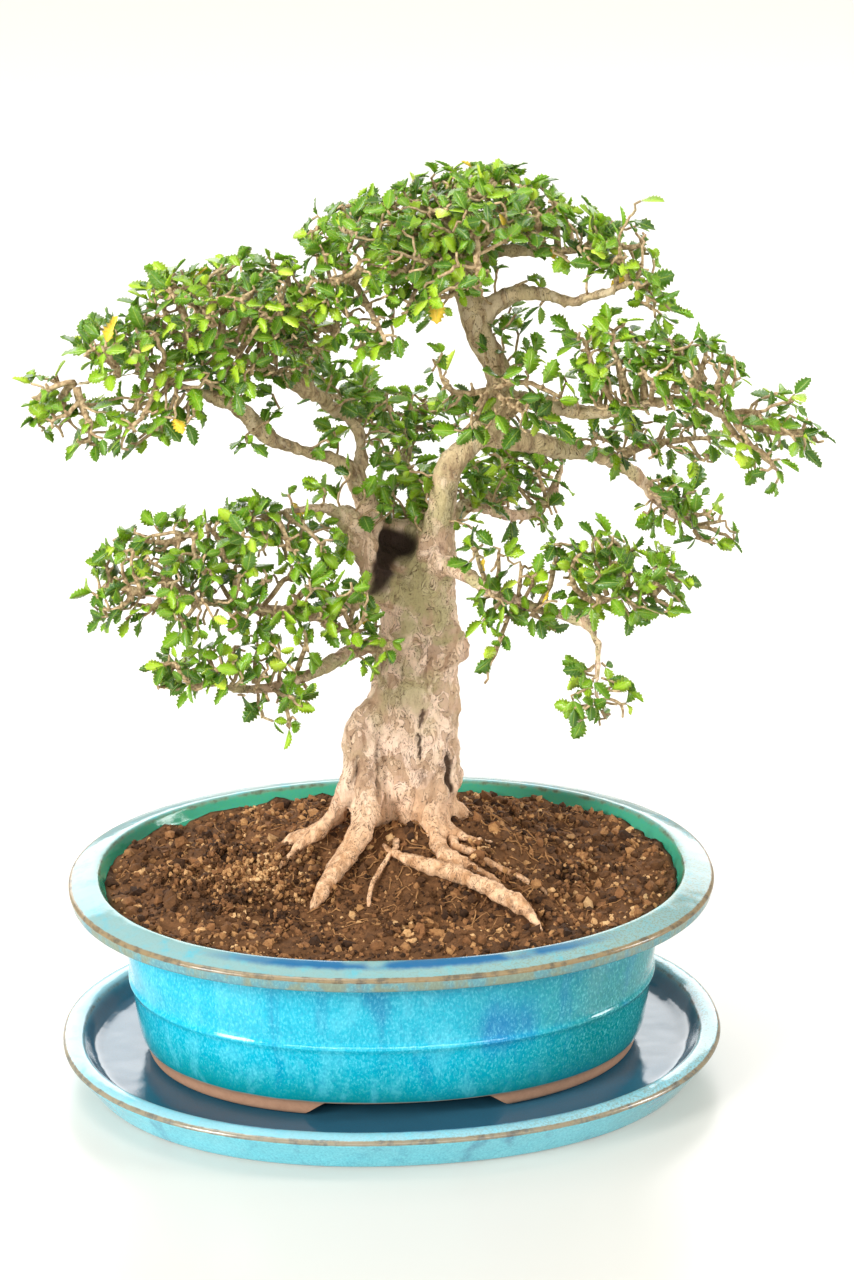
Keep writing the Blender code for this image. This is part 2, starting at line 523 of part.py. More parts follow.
def tube(bm, route, lift=TREE_LIFT):
    """A closed round tube along a route of (x, y, z, radius) in millimetres, with a domed tip."""
    points = [Vector((x * MM, y * MM, z * MM + lift)) for x, y, z, _ in route]
    radii = [r * MM for *_, r in route]
    rings = []
    side = Vector((0, 1, 0))
    for i, (point, radius) in enumerate(zip(points, radii)):
        along = (points[min(i + 1, len(points) - 1)] - points[max(i - 1, 0)]).normalized()
        side = (side - along * side.dot(along)).normalized()
        other = along.cross(side)
        ring = []
        for step in range(TUBE_SIDES):
            angle = 2 * pi * step / TUBE_SIDES
            ring.append(bm.verts.new(point + (side * cos(angle) + other * sin(angle)) * radius))
        rings.append(ring)
    for lower, upper in zip(rings, rings[1:]):
        join_rings(bm, lower, upper)
    start, end = points[0], points[-1]
    foot = bm.verts.new(start - (points[1] - start).normalized() * radii[0] * 0.5)
    tip = bm.verts.new(end + (end - points[-2]).normalized() * radii[-1] * 0.7)
    for i in range(TUBE_SIDES):
        j = (i + 1) % TUBE_SIDES
        bm.faces.new((foot, rings[0][j], rings[0][i]))
        bm.faces.new((tip, rings[-1][i], rings[-1][j]))


def remeshed(name, thing, voxel, triangles, finish):
    """One closed skin round all that the thing holds, brought down to about so many triangles."""
    skin = thing.modifiers.new("skin", "REMESH")
    skin.mode = "VOXEL"
    skin.voxel_size = voxel
    skin.adaptivity = 0
    relax = thing.modifiers.new("relax", "SMOOTH")
    relax.factor = 0.5
    relax.iterations = 2
    full = evaluated_bmesh(thing)
    bmesh.ops.triangulate(full, faces=full.faces)
    count = len(full.faces)
    fine = new_object(name + "_fine", full)
    fewer = fine.modifiers.new("fewer", "DECIMATE")
    fewer.ratio = min(1.0, triangles / count)
    made = new_object(name, evaluated_bmesh(fine), finish)
    shade_round(made, 180)
    for helper in (thing, fine):
        bpy.data.objects.remove(helper)
    return made


def build_wood():
    """Trunk, surface roots and limbs: they grew as one piece, so they are one solid."""
    bm = bmesh.new()
    tube(bm, TRUNK)
    tube(bm, KNOT)
    for route in list(ROOTS.values()) + list(LIMBS.values()):
        tube(bm, route)
    solid = new_object("wood_routes", bm)
    skin = solid.modifiers.new("skin", "REMESH")
    skin.mode = "VOXEL"
    skin.voxel_size = WOOD_VOXEL
    solid = new_object("wood_joined", evaluated_bmesh(solid))
    for name, route in HOLLOWS.items():
        hollow = bmesh.new()
        tube(hollow, route)
        cut(solid, new_object(name + "_hollow_cutter", hollow))
    return remeshed("tree_wood", solid, WOOD_VOXEL, WOOD_TRIANGLES, "bark")


def room_for(thing, gap):
    """A cutter that is the thing's own shape, grown by the gap."""
    bm = bmesh.new()
    bm.from_mesh(thing.data)
    cutter = new_object("room_for_" + thing.name, bm)
    grow = cutter.modifiers.new("grow", "DISPLACE")
    grow.strength = gap
    grow.mid_level = 0
    return cutter


def boxes_meet(one, other):
    """Whether two things' bounding boxes come within a clearance of each other."""

    def span(thing, axis):
        along = [corner[axis] for corner in thing.bound_box]
        return min(along) - FOLIAGE_CLEARANCE, max(along) + FOLIAGE_CLEARANCE

    return all(
        span(one, axis)[0] < span(other, axis)[1] and span(other, axis)[0] < span(one, axis)[1] for axis in range(3)
    )


# Foliage --------------------------------------------------------------------------------------


def build_foliage(name, lumps, wood_cutter, neighbours):
    """One pad of foliage: lumps grown together into one closed skin, with room for the wood inside it
    and for the pads that it meets."""
    bm = bmesh.new()
    for x, y, z, half_length, half_depth, half_height in lumps:
        place = Matrix.Translation((x * MM, y * MM, z * MM + TREE_LIFT))
        shape = Matrix.Diagonal((half_length * MM, half_depth * MM, half_height * MM, 1))
        bmesh.ops.create_icosphere(bm, subdivisions=3, radius=1, matrix=place @ shape)
    lumped = new_object(name + "_lumps", bm)
    pad = remeshed("foliage_" + name, lumped, LUMP_VOXEL, FOLIAGE_TRIANGLES, "leaf")
    for neighbour in neighbours:
        if boxes_meet(pad, neighbour):
            cut(pad, room_for(neighbour, FOLIAGE_CLEARANCE))
    cut(pad, wood_cutter)
    return pad


def main():
    clear_scene()
    build_tray()
    build_pot()
    build_drain_mesh("drain_mesh_left", -1)
    build_drain_mesh("drain_mesh_right", 1)
    wood = build_wood()
    cutter = room_for(wood, WOOD_CLEARANCE)
    build_soil(cutter)
    pads = []
    for name, lumps in FOLIAGE.items():
        pads.append(build_foliage(name, lumps, cutter, pads))


main()
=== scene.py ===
# %% [markdown]
# # A bonsai elm in a glazed oval pot
# The object is a small elm, grown for years in an oval stoneware pot that stands on a drip tray.
# Its measured solids come first, as a fixed frame. Each is then kept and finished, or replaced by a
# piece with the detail that the real one has: glaze, soil crumbs, bark, twigs and leaves.

# %% Load the measured model
from math import atan2, ceil, cos, exp, pi, radians, sin, sqrt

import bpy
import numpy as np
from mathutils import Matrix, Vector, noise
from mathutils.bvhtree import BVHTree


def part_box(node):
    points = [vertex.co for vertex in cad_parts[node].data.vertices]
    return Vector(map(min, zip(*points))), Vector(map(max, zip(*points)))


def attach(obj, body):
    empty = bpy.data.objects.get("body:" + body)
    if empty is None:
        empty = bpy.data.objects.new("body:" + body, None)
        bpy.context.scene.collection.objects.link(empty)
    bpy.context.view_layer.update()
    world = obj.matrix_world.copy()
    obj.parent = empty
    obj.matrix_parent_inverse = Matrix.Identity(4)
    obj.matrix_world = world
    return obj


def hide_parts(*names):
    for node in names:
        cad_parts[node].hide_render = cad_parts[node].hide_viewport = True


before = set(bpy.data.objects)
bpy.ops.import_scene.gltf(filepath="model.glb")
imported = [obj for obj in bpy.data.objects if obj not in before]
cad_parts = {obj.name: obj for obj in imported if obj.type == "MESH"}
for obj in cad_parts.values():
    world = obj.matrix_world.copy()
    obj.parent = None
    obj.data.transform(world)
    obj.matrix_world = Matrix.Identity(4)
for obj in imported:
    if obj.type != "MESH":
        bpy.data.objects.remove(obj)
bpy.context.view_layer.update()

MM = 0.001

# %% [markdown]
# The camera stands a little to the left of the tree's front and looks down on it by about twenty
# degrees, from far enough away that the pot's oval keeps its shape. A long lens does that.

# %% Camera
VIEW_AZIMUTH = radians(-5.5)
VIEW_ELEVATION = radians(21.0)
VIEW_DISTANCE = 1.1
VIEW_TARGET = Vector((0.0109, 0, 0.1416))
VIEW_LENS = 102.2

backwards = Vector(
    (sin(VIEW_AZIMUTH) * cos(VIEW_ELEVATION), -cos(VIEW_AZIMUTH) * cos(VIEW_ELEVATION), sin(VIEW_ELEVATION))
)
camera = bpy.data.objects.new("camera", bpy.data.cameras.new("camera"))
camera.data.lens = VIEW_LENS
camera.location = VIEW_TARGET + backwards * VIEW_DISTANCE
camera.rotation_euler = backwards.to_track_quat("Z", "Y").to_euler()
bpy.context.scene.collection.objects.link(camera)
bpy.context.scene.camera = camera
bpy.context.scene.view_settings.view_transform = "Standard"
print("camera", [round(v, 3) for v in camera.location])

# %% [markdown]
# Studio light for a glossy pot comes from large soft boxes: their outlines are what the glaze
# reflects. One hangs overhead and one stands at each side. A wide bright panel far behind rims the
# leaves with light and lies white on the flange and in the tray, and a narrow strip in front draws
# thin highlights along the glaze. Pale surroundings fill the shadows.

# %% Soft boxes and surroundings
def soft_box(name, place, target, width, height, watts):
    """A rectangular lamp that faces the target."""
    lamp = bpy.data.lights.new(name, "AREA")
    lamp.shape = "RECTANGLE"
    lamp.size, lamp.size_y, lamp.energy = width, height, watts
    stand = bpy.data.objects.new(name, lamp)
    stand.location = place
    stand.rotation_euler = (Vector(place) - Vector(target)).to_track_quat("Z", "Y").to_euler()
    bpy.context.scene.collection.objects.link(stand)


soft_box("overhead_box", (-0.35, 0.1, 1.5), (0, 0, 0.1), 0.8, 0.7, 11)
soft_box("left_box", (-1.3, -1.0, 0.8), (0, 0, 0.12), 0.45, 0.9, 37)
soft_box("right_box", (1.5, -0.35, 0.75), (0, 0, 0.12), 0.35, 0.8, 18)
soft_box("rear_panel", (0, 2.3, 0.95), (0, 0, 0.1), 3.0, 1.2, 42)
soft_box("front_strip", (0, -1.7, 1.0), (0, 0, 0.05), 2.2, 0.12, 12)

world = bpy.data.worlds.new("pale_studio")
world.use_nodes = True
world.node_tree.nodes["Background"].inputs["Color"].default_value = (1.0, 0.985, 0.955, 1)
world.node_tree.nodes["Background"].inputs["Strength"].default_value = 0.5
bpy.context.scene.world = world

# %% [markdown]
# A few short helpers stand in for what a modeller does by hand: dropping the selection, picking one
# thing, and applying its modifiers. Operators act on all that is selected, so every step starts clean.

# %% Hands
def drop_selection():
    if bpy.context.mode != "OBJECT":
        bpy.ops.object.mode_set(mode="OBJECT")
    bpy.ops.object.select_all(action="DESELECT")


def pick(thing):
    drop_selection()
    thing.select_set(True)
    bpy.context.view_layer.objects.active = thing


def apply_modifiers(thing):
    pick(thing)
    for modifier in list(thing.modifiers):
        bpy.ops.object.modifier_apply(modifier=modifier.name)


def points_of(thing):
    """The vertices of a thing, as an array of x, y, z."""
    flat = np.empty(len(thing.data.vertices) * 3, np.float32)
    thing.data.vertices.foreach_get("co", flat)
    return flat.reshape(-1, 3).astype(float)


def set_points(thing, points):
    thing.data.vertices.foreach_set("co", np.asarray(points, np.float32).ravel())
    thing.data.update()


def set_attribute(thing, name, values):
    """One number, or one x, y, z, for each vertex."""
    values = np.asarray(values, np.float32)
    kind = "FLOAT" if values.ndim == 1 else "FLOAT_VECTOR"
    layer = thing.data.attributes.new(name, kind, "POINT")
    layer.data.foreach_set("value" if values.ndim == 1 else "vector", values.ravel())


def new_mesh(name, points, faces):
    mesh = bpy.data.meshes.new(name)
    mesh.from_pydata(np.asarray(points).tolist(), [], faces if isinstance(faces, list) else faces.tolist())
    mesh.update()
    thing = bpy.data.objects.new(name, mesh)
    bpy.context.scene.collection.objects.link(thing)
    return thing


def shade_smooth(thing, sharp_degrees=None):
    pick(thing)
    if sharp_degrees is None:
        bpy.ops.object.shade_smooth()
    else:
        bpy.ops.object.shade_smooth_by_angle(angle=radians(sharp_degrees))


# %% [markdown]
# Finishes are written as arithmetic. A Socket is one output of a shader node; adding or multiplying
# sockets adds the Math nodes that do it. A Finish is one material, and its node method adds any other
# node: its settings are set first, and then its sockets get their values or links.

# %% Shader arithmetic
class Socket:
    def __init__(self, finish, socket):
        self.finish, self.socket = finish, socket

    def math(self, operation, first, second=0.0):
        return self.finish.node("Math", {"operation": operation}, {0: first, 1: second})

    def __add__(self, other):
        return self.math("ADD", self, other)

    def __radd__(self, other):
        return self.math("ADD", other, self)

    def __sub__(self, other):
        return self.math("SUBTRACT", self, other)

    def __rsub__(self, other):
        return self.math("SUBTRACT", other, self)

    def __mul__(self, other):
        return self.math("MULTIPLY", self, other)

    def __rmul__(self, other):
        return self.math("MULTIPLY", other, self)

    def __truediv__(self, other):
        return self.math("DIVIDE", self, other)

    def __pow__(self, other):
        return self.math("POWER", self, other)

    def ramp(self, low, high):
        """Rises smoothly from 0 at low to 1 at high."""
        settings = {"interpolation_type": "SMOOTHSTEP"}
        return self.finish.node("MapRange", settings, {"Value": self, "From Min": low, "From Max": high})


class Finish:
    def __init__(self, name):
        self.material = bpy.data.materials.new(name)
        self.material.use_nodes = True
        self.tree = self.material.node_tree
        self.shader = self.tree.nodes["Principled BSDF"]

    def feed(self, socket, value):
        if isinstance(value, Socket):
            self.tree.links.new(value.socket, socket)
        else:
            socket.default_value = value

    def node(self, kind, settings=None, sockets=None, output=0):
        made = self.tree.nodes.new("ShaderNode" + kind)
        for name, value in (settings or {}).items():
            if name == "stops":
                for _ in value[2:]:
                    made.color_ramp.elements.new(0.5)
                for element, (place, colour) in zip(made.color_ramp.elements, value):
                    element.position, element.color = place, (*colour, 1)
            else:
                setattr(made, name, value)
        for name, value in (sockets or {}).items():
            self.feed(made.inputs[name], value)
        return Socket(self, made.outputs[output])

    def place(self):
        return self.node("TexCoord", output="Object")

    def stretched(self, x, y, z):
        """Object coordinates, scaled along each axis."""
        return self.node("Mapping", None, {"Vector": self.place(), "Scale": (x, y, z)})

    def axis(self, vector, name):
        return self.node("SeparateXYZ", None, {0: vector}, output=name)

    def noise(self, vector, scale, detail=3.0, roughness=0.55, distortion=0.0):
        sockets = {"Vector": vector, "Scale": scale, "Detail": detail}
        sockets.update({"Roughness": roughness, "Distortion": distortion})
        return self.node("TexNoise", None, sockets)

    def cells(self, vector, scale):
        """The distance to the middle of the nearest cell."""
        sockets = {"Vector": vector, "Scale": scale}
        return self.node("TexVoronoi", {"feature": "F1"}, sockets, output="Distance")

    def attribute(self, name, output="Fac"):
        return self.node("Attribute", {"attribute_name": name}, output=output)

    def blend(self, first, second, factor):
        """A colour between two colours."""
        first, second = [c if isinstance(c, Socket) else (*c, 1) for c in (first, second)]
        settings = {"data_type": "RGBA", "blend_type": "MIX"}
        return self.node("Mix", settings, {0: factor, 6: first, 7: second}, output=2)

    def palette(self, value, stops):
        return self.node("ValToRGB", {"stops": stops}, {0: value})

    def bump(self, height, depth, strength=1.0, under=None):
        sockets = {"Height": height, "Distance": depth, "Strength": strength}
        if under is not None:
            sockets["Normal"] = under
        return self.node("Bump", None, sockets)

    def wear(self, **sockets):
        """Feeds the Principled shader; an underscore in a name stands for a space."""
        for name, value in sockets.items():
            value = (*value, 1) if isinstance(value, tuple) and len(value) == 3 else value
            self.feed(self.shader.inputs[name.replace("_", " ")], value)
        return self.material


def dress(thing, material):
    thing.data.materials.clear()
    thing.data.materials.append(material)


# %% [markdown]
# The object stands on a pale table of frosted acrylic, lit a little from below as product tables are.
# The table isn't part of it, and only catches its soft shadow.

# %% Table
drop_selection()
bpy.ops.mesh.primitive_plane_add(size=12, location=(0, 0, -0.0002))
table = bpy.context.object
table.name = "table"
table_finish = Finish("pale_table")
table_tone = table_finish.noise(table_finish.place(), 3.0)
table_colour = table_finish.blend((0.42, 0.41, 0.375), (0.435, 0.425, 0.39), table_tone)
table_finish.shader.inputs["Emission Strength"].default_value = 0.25
table_glow = table_finish.blend((1.0, 0.95, 0.86), (0.98, 0.93, 0.84), table_tone)
dress(table, table_finish.wear(Base_Color=table_colour, Roughness=0.3, Emission_Color=table_glow))

# %% [markdown]
# A potter throws or presses an oval pot as one wall that follows one profile all the way round. Here a
# flat oval is drawn first. Its face is then extruded and resized step by step along the profile: under
# the foot, up the outside, over the rim and down the inside. Cutting each corner of the profile twice
# gives the soft edges that a glaze leaves.

# %% Oval walls
OVAL_POINTS = 180
OVAL_POWER = 2.14


def oval_point(angle):
    """A point of the oval whose half length and half width are both 1."""
    across, along = cos(angle), sin(angle)
    return (
        abs(across) ** (2 / OVAL_POWER) * (1 if across >= 0 else -1),
        abs(along) ** (2 / OVAL_POWER) * (1 if along >= 0 else -1),
    )


def soften(profile, rounds=2):
    """Cuts every corner of the profile, and blends what each point carries."""
    rows = [np.array(row, float) for row in profile]
    for _ in range(rounds):
        cut = [rows[0]]
        for here, after in zip(rows, rows[1:]):
            cut += [here * 0.75 + after * 0.25, here * 0.25 + after * 0.75]
        rows = cut + [rows[-1]]
    return rows


def raise_wall(name, half_length, half_width, profile):
    """A closed oval wall. A row is inset and height, in millimetres, then edge, flange and inside."""
    rows = soften(profile)
    drop_selection()
    bpy.ops.mesh.primitive_circle_add(vertices=OVAL_POINTS, radius=1, fill_type="NGON")
    wall = bpy.context.object
    wall.name = name
    first_inset, first_height = rows[0][:2] * MM
    for vertex in wall.data.vertices:
        x, y = oval_point(atan2(vertex.co.y, vertex.co.x))
        vertex.co = (x * (half_length - first_inset), y * (half_width - first_inset), first_height)
    bpy.ops.object.mode_set(mode="EDIT")
    bpy.ops.mesh.select_all(action="SELECT")
    for before, after in zip(rows, rows[1:]):
        rise = (after[1] - before[1]) * MM
        bpy.ops.mesh.extrude_region_move(TRANSFORM_OT_translate={"value": (0, 0, rise)})
        wider = [(half - after[0] * MM) / (half - before[0] * MM) for half in (half_length, half_width)]
        bpy.ops.transform.resize(value=(*wider, 1))
    bpy.ops.mesh.select_all(action="SELECT")
    bpy.ops.mesh.normals_make_consistent(inside=False)
    bpy.ops.object.mode_set(mode="OBJECT")
    carried = np.repeat(np.array(rows)[:, 2:], OVAL_POINTS, axis=0)
    for column, label in enumerate(("edge", "flange", "inside")):
        set_attribute(wall, label, carried[:, column])
    wall.location = (0, 0, 0)
    return wall


def cut_away(thing, cutter):
    """Takes the cutter's shape out of the thing, and throws the cutter away."""
    modifier = thing.modifiers.new("cut", "BOOLEAN")
    modifier.object = cutter
    apply_modifiers(thing)
    bpy.data.objects.remove(cutter)


# %% [markdown]
# The pot has a broad flange that slopes gently outwards, a short upright band under it, a body that
# draws in a little towards the foot, with one faint throwing ridge round it, and an unglazed foot ring.
# The ridge is a real one, because its upper face is what catches a thin line of light. Each row says how
# far in and how high the point is, then how much of an edge, of the flange and of the inside it is.

# %% Pot
pot_low, pot_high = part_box("pot")
POT_TOP = pot_high[2] / MM
FOOT_BOTTOM = pot_low[2] / MM
FOOT_HEIGHT = 6.2
BELLY_FOOT = FOOT_BOTTOM + FOOT_HEIGHT

pot_profile = [
    (30.5, BELLY_FOOT, 0, 0, 0),
    (29.5, FOOT_BOTTOM, 0, 0, 0),
    (23.7, FOOT_BOTTOM, 0, 0, 0),
    (22.6, BELLY_FOOT - 1.2, 0, 0, 0),
    (21.3, BELLY_FOOT + 0.4, 0, 0, 0),
    (20.2, BELLY_FOOT + 5, 0, 0, 0),
    (19.5, BELLY_FOOT + 11, 0, 0, 0),
    (18.6, BELLY_FOOT + 17.6, 0, 0, 0),
    (17.7, BELLY_FOOT + 19.2, 0, 0, 0),
    (17.5, BELLY_FOOT + 19.9, 0, 0, 0),
    (18.3, BELLY_FOOT + 21.1, 0, 0, 0),
    (18.0, BELLY_FOOT + 24, 0, 0, 0),
    (17.2, POT_TOP - 24, 0, 0, 0),
    (16.8, POT_TOP - 14, 0, 0, 0),
    (16.2, POT_TOP - 10.2, 0, 0, 0),
    (12.5, POT_TOP - 8.0, 0, 0, 0),
    (3.0, POT_TOP - 7.2, 0.1, 0, 0),
    (1.0, POT_TOP - 6.6, 0.5, 0, 0),
    (0.4, POT_TOP - 5.4, 0, 0, 0),
    (0.1, POT_TOP - 3.6, 0.1, 0, 0),
    (0.0, POT_TOP - 2.8, 1.0, 0.3, 0),
    (0.6, POT_TOP - 2.1, 1.0, 1, 0),
    (1.8, POT_TOP - 1.7, 0.0, 1, 0),
    (4.0, POT_TOP - 1.0, 0, 1, 0),
    (7.4, POT_TOP - 0.1, 0, 1, 0),
    (8.9, POT_TOP, 0.5, 1, 0.2),
    (9.6, POT_TOP - 0.7, 0.6, 0.4, 1),
    (10.4, POT_TOP - 2.4, 0.1, 0, 1),
    (11.4, POT_TOP - 4.6, 0, 0, 1),
    (18.0, POT_TOP - 9.4, 0, 0, 1),
    (21.3, POT_TOP - 13.2, 0, 0, 1),
    (23.0, POT_TOP - 31, 0, 0, 1),
    (25.5, BELLY_FOOT + 9, 0, 0, 1),
    (30.0, BELLY_FOOT + 5, 0, 0, 1),
]
pot = raise_wall("glazed_pot", pot_high[0], pot_high[1], pot_profile)
print("pot wall:", len(pot_profile), "rows", len(pot.data.vertices), "points")

# %% [markdown]
# Water leaves through two holes in the floor and through an opening in the foot, front and back. A potter
# cuts both from the leather-hard clay. Here a block and two cylinders are taken out with a Boolean. The
# block is narrower at its top, as the real opening is.

# %% Foot opening and drainage holes
NOTCH_HALF_TOP, NOTCH_HALF_BOTTOM = 25, 36
DRAIN_PLACE, DRAIN_RADIUS = 38, 6

drop_selection()
bpy.ops.mesh.primitive_cube_add(size=1, location=(0, 0, (FOOT_BOTTOM + BELLY_FOOT) / 2 * MM - 2 * MM))
notch = bpy.context.object
notch.scale = (1, 0.3, (BELLY_FOOT - FOOT_BOTTOM + 3) * MM)
bpy.ops.object.transform_apply(scale=True, location=False, rotation=False)
for vertex in notch.data.vertices:
    half = (NOTCH_HALF_TOP if vertex.co.z > 0 else NOTCH_HALF_BOTTOM) * MM
    vertex.co.x = half if vertex.co.x > 0 else -half
cut_away(pot, notch)

for side in (-1, 1):
    drop_selection()
    hole = (side * DRAIN_PLACE * MM, 0, (BELLY_FOOT + 2) * MM)
    bpy.ops.mesh.primitive_cylinder_add(vertices=24, radius=DRAIN_RADIUS * MM, depth=20 * MM, location=hole)
    cut_away(pot, bpy.context.object)
shade_smooth(pot, 50)
print("pot:", len(pot.data.vertices), "points")

# %% [markdown]
# The drip tray is a shallow oval dish made the same way, with a flat flange and a leaning wall. It is a
# piece of its own, because the pot only stands on its floor.

# %% Drip tray
tray_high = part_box("drip_tray")[1]
TRAY_TOP = tray_high[2] / MM
TRAY_FLOOR = FOOT_BOTTOM - 0.3

tray_profile = [
    (11.0, 0, 0, 0, 0),
    (9.2, 0, 0, 0, 0),
    (8.2, 0.8, 0, 0, 0),
    (4.6, 6.0, 0, 0, 0),
    (1.4, TRAY_TOP - 3.8, 0, 0, 0),
    (0.3, TRAY_TOP - 2.4, 0.1, 0, 0),
    (0.0, TRAY_TOP - 1.7, 1, 0.2, 0),
    (0.5, TRAY_TOP - 0.9, 1, 1, 0),
    (1.6, TRAY_TOP - 0.4, 0.1, 1, 0),
    (3.4, TRAY_TOP, 0, 1, 0),
    (5.4, TRAY_TOP - 0.2, 0, 1, 0),
    (6.6, TRAY_TOP - 1.0, 0.7, 1, 0.4),
    (7.6, TRAY_TOP - 2.6, 0.1, 0, 1),
    (9.6, TRAY_FLOOR + 1.4, 0, 0, 1),
    (11.8, TRAY_FLOOR + 0.1, 0, 0, 1),
    (15.0, TRAY_FLOOR, 0, 0, 1),
]
tray = raise_wall("glazed_tray", tray_high[0], tray_high[1], tray_profile)
shade_smooth(tray, 50)
print("tray:", len(tray.data.vertices), "points")

# %% [markdown]
# The glaze is a pooled turquoise: it breaks to brown where it runs thin over an edge, goes milky on
# the flange, gathers in darker blue runs under the rim, and turns teal where it is thick near the foot.
# It is full of small pale drops. It could be painted on, but a recipe of noises and heights needs no
# map and has no seam. One recipe serves the pot and the tray, with other heights.

# %% Glaze
CLAY = (0.34, 0.17, 0.10)


def glaze(
    name, half, clay_below, thick_below, runs_above, band_above,
    body, low, deep, milk, within, blotch, shade_from, shine,
):
    """Colours are linear red, green, blue. Heights and places are in metres."""
    finish = Finish(name)
    place = finish.place()
    height = finish.axis(place, "Z")
    across = finish.axis(place, "X")
    wander = finish.noise(place, 45.0, 2.0)
    fine = finish.noise(finish.stretched(1, 1, 0.55), 1500.0, 3.0, 0.6)
    drops = finish.cells(finish.stretched(1, 1, 0.62), 900.0)
    streak = finish.noise(finish.stretched(1, 1, 0.16), 70.0, 3.0, 0.6, 0.4)
    pools = finish.noise(place, 26.0, 3.0, 0.6)
    veil = finish.noise(finish.stretched(1, 1, 0.5), 130.0, 4.0, 0.65, 0.5)

    # The body, with thicker glaze low down. The deeper teal beyond shade_from, on the right-hand side, is
    # laid on by place: partly a thicker glaze and partly painted shade of that side.
    colour = finish.blend(low, body, (height + wander * 0.014).ramp(thick_below, thick_below + 0.024))
    colour = finish.blend(colour, finish.blend(body, (0.30, 0.86, 0.96), 0.5), veil.ramp(0.48, 0.66) * 0.3)
    teal = finish.blend(low, (0.004, 0.16, 0.15), 0.6)
    shaded = (across + wander * 0.03).ramp(shade_from, shade_from + 0.055)
    colour = finish.blend(colour, teal, shaded * 0.95)
    # Runs and pools of the darker blue, and one blot of it at a chosen place.
    run_mask = streak.ramp(0.52, 0.70) * (height + streak * 0.03).ramp(runs_above, runs_above + 0.026)
    colour = finish.blend(colour, deep, run_mask * 0.8)
    top_band = (height + streak * 0.012).ramp(runs_above + 0.020, runs_above + 0.034)
    colour = finish.blend(colour, finish.blend(body, deep, 0.55), top_band * 0.7)
    colour = finish.blend(colour, deep, pools.ramp(0.62, 0.76) * 0.4)
    away = finish.node("VectorMath", {"operation": "DISTANCE"}, {0: place, 1: blotch}, output="Value")
    blot = 1 - (away + (streak - 0.5) * 0.022).ramp(0.003, 0.015)
    colour = finish.blend(colour, (0.002, 0.16, 0.42), blot * 0.95)
    # Fine pale drops.
    pale = finish.blend(colour, (0.24, 0.84, 0.94), 0.7)
    upper = (height + wander * 0.01).ramp(thick_below, thick_below + 0.016)
    colour = finish.blend(colour, pale, drops.ramp(0.60, 0.25) * fine.ramp(0.42, 0.6) * upper * 0.16)
    colour = finish.blend(colour, finish.blend(colour, deep, 0.55), fine.ramp(0.50, 0.64) * 0.5)
    colour = finish.blend(colour, pale, (1 - fine.ramp(0.34, 0.50)) * upper * 0.4)

    # The milky flange, more olive towards the right, with a dark pool along its inner edge at the front.
    flange = finish.attribute("flange")
    cloud = finish.noise(place, 150.0, 4.0, 0.6)
    olive = finish.blend((0.30, 0.33, 0.20), (0.16, 0.15, 0.08), fine)
    milky = finish.blend(milk, body, cloud.ramp(0.46, 0.76) * 0.5)
    milky = finish.blend(milky, olive, fine.ramp(0.46, 0.60) * (0.12 + across.ramp(-0.04, 0.09) * 0.45))
    depth = finish.axis(place, "Y")
    sides = [finish.node("Math", {"operation": "ABSOLUTE"}, {0: side}) for side in (across, depth)]
    radial = (sides[0] / half[0]) ** OVAL_POWER + (sides[1] / half[1]) ** OVAL_POWER
    pool = (1 - depth.ramp(-0.066, -0.052)) * (1 - (radial + (cloud - 0.5) * 0.08).ramp(0.84, 0.90))
    milky = finish.blend(milky, (0.003, 0.10, 0.26), pool * wander.ramp(0.36, 0.50) * 0.92)
    band = radial.ramp(0.88, 0.96) * height.ramp(band_above, band_above + 0.002)
    colour = finish.blend(colour, olive, band * (0.45 + veil.ramp(0.4, 0.6) * 0.4))
    colour = finish.blend(colour, milky, flange)
    # The inside takes the within colour. On the tray that is a dark navy, painted shadow of the pot, mottled
    # with the deep blue.
    inside = finish.attribute("inside")
    colour = finish.blend(colour, finish.blend(within, deep, fine * 0.4), inside)

    # The glaze runs off sharp edges and leaves them rusty.
    ragged = finish.noise(place, 260.0, 4.0, 0.65)
    thin = (finish.attribute("edge") + (ragged - 0.5) * 0.7).ramp(0.40, 0.74)
    rust = finish.blend((0.25, 0.155, 0.06), (0.10, 0.055, 0.022), ragged.ramp(0.45, 0.65))
    colour = finish.blend(colour, rust, thin * 0.85)

    # The foot is bare clay.
    clay_noise = finish.noise(place, 500.0, 4.0, 0.7)
    clay_colour = finish.blend(CLAY, (0.50, 0.29, 0.18), clay_noise)
    clay = 1 - (height + wander * 0.0015).ramp(clay_below, clay_below + 0.0009)
    colour = finish.blend(colour, clay_colour, clay)

    ripple = finish.bump(finish.noise(place, 55.0, 2.0), 0.0013, 0.6)
    skin = finish.bump(fine * (1 - clay) * 0.5 + clay_noise * clay * 3.0, 0.00012, 0.45, under=ripple)
    rough = 0.07 + clay * 0.7 + thin * 0.12 + fine * 0.03
    finish.wear(Specular_IOR_Level=shine, Coat_Weight=0.2, Coat_Roughness=0.02)
    return finish.wear(Base_Color=colour, Roughness=rough, Normal=skin)


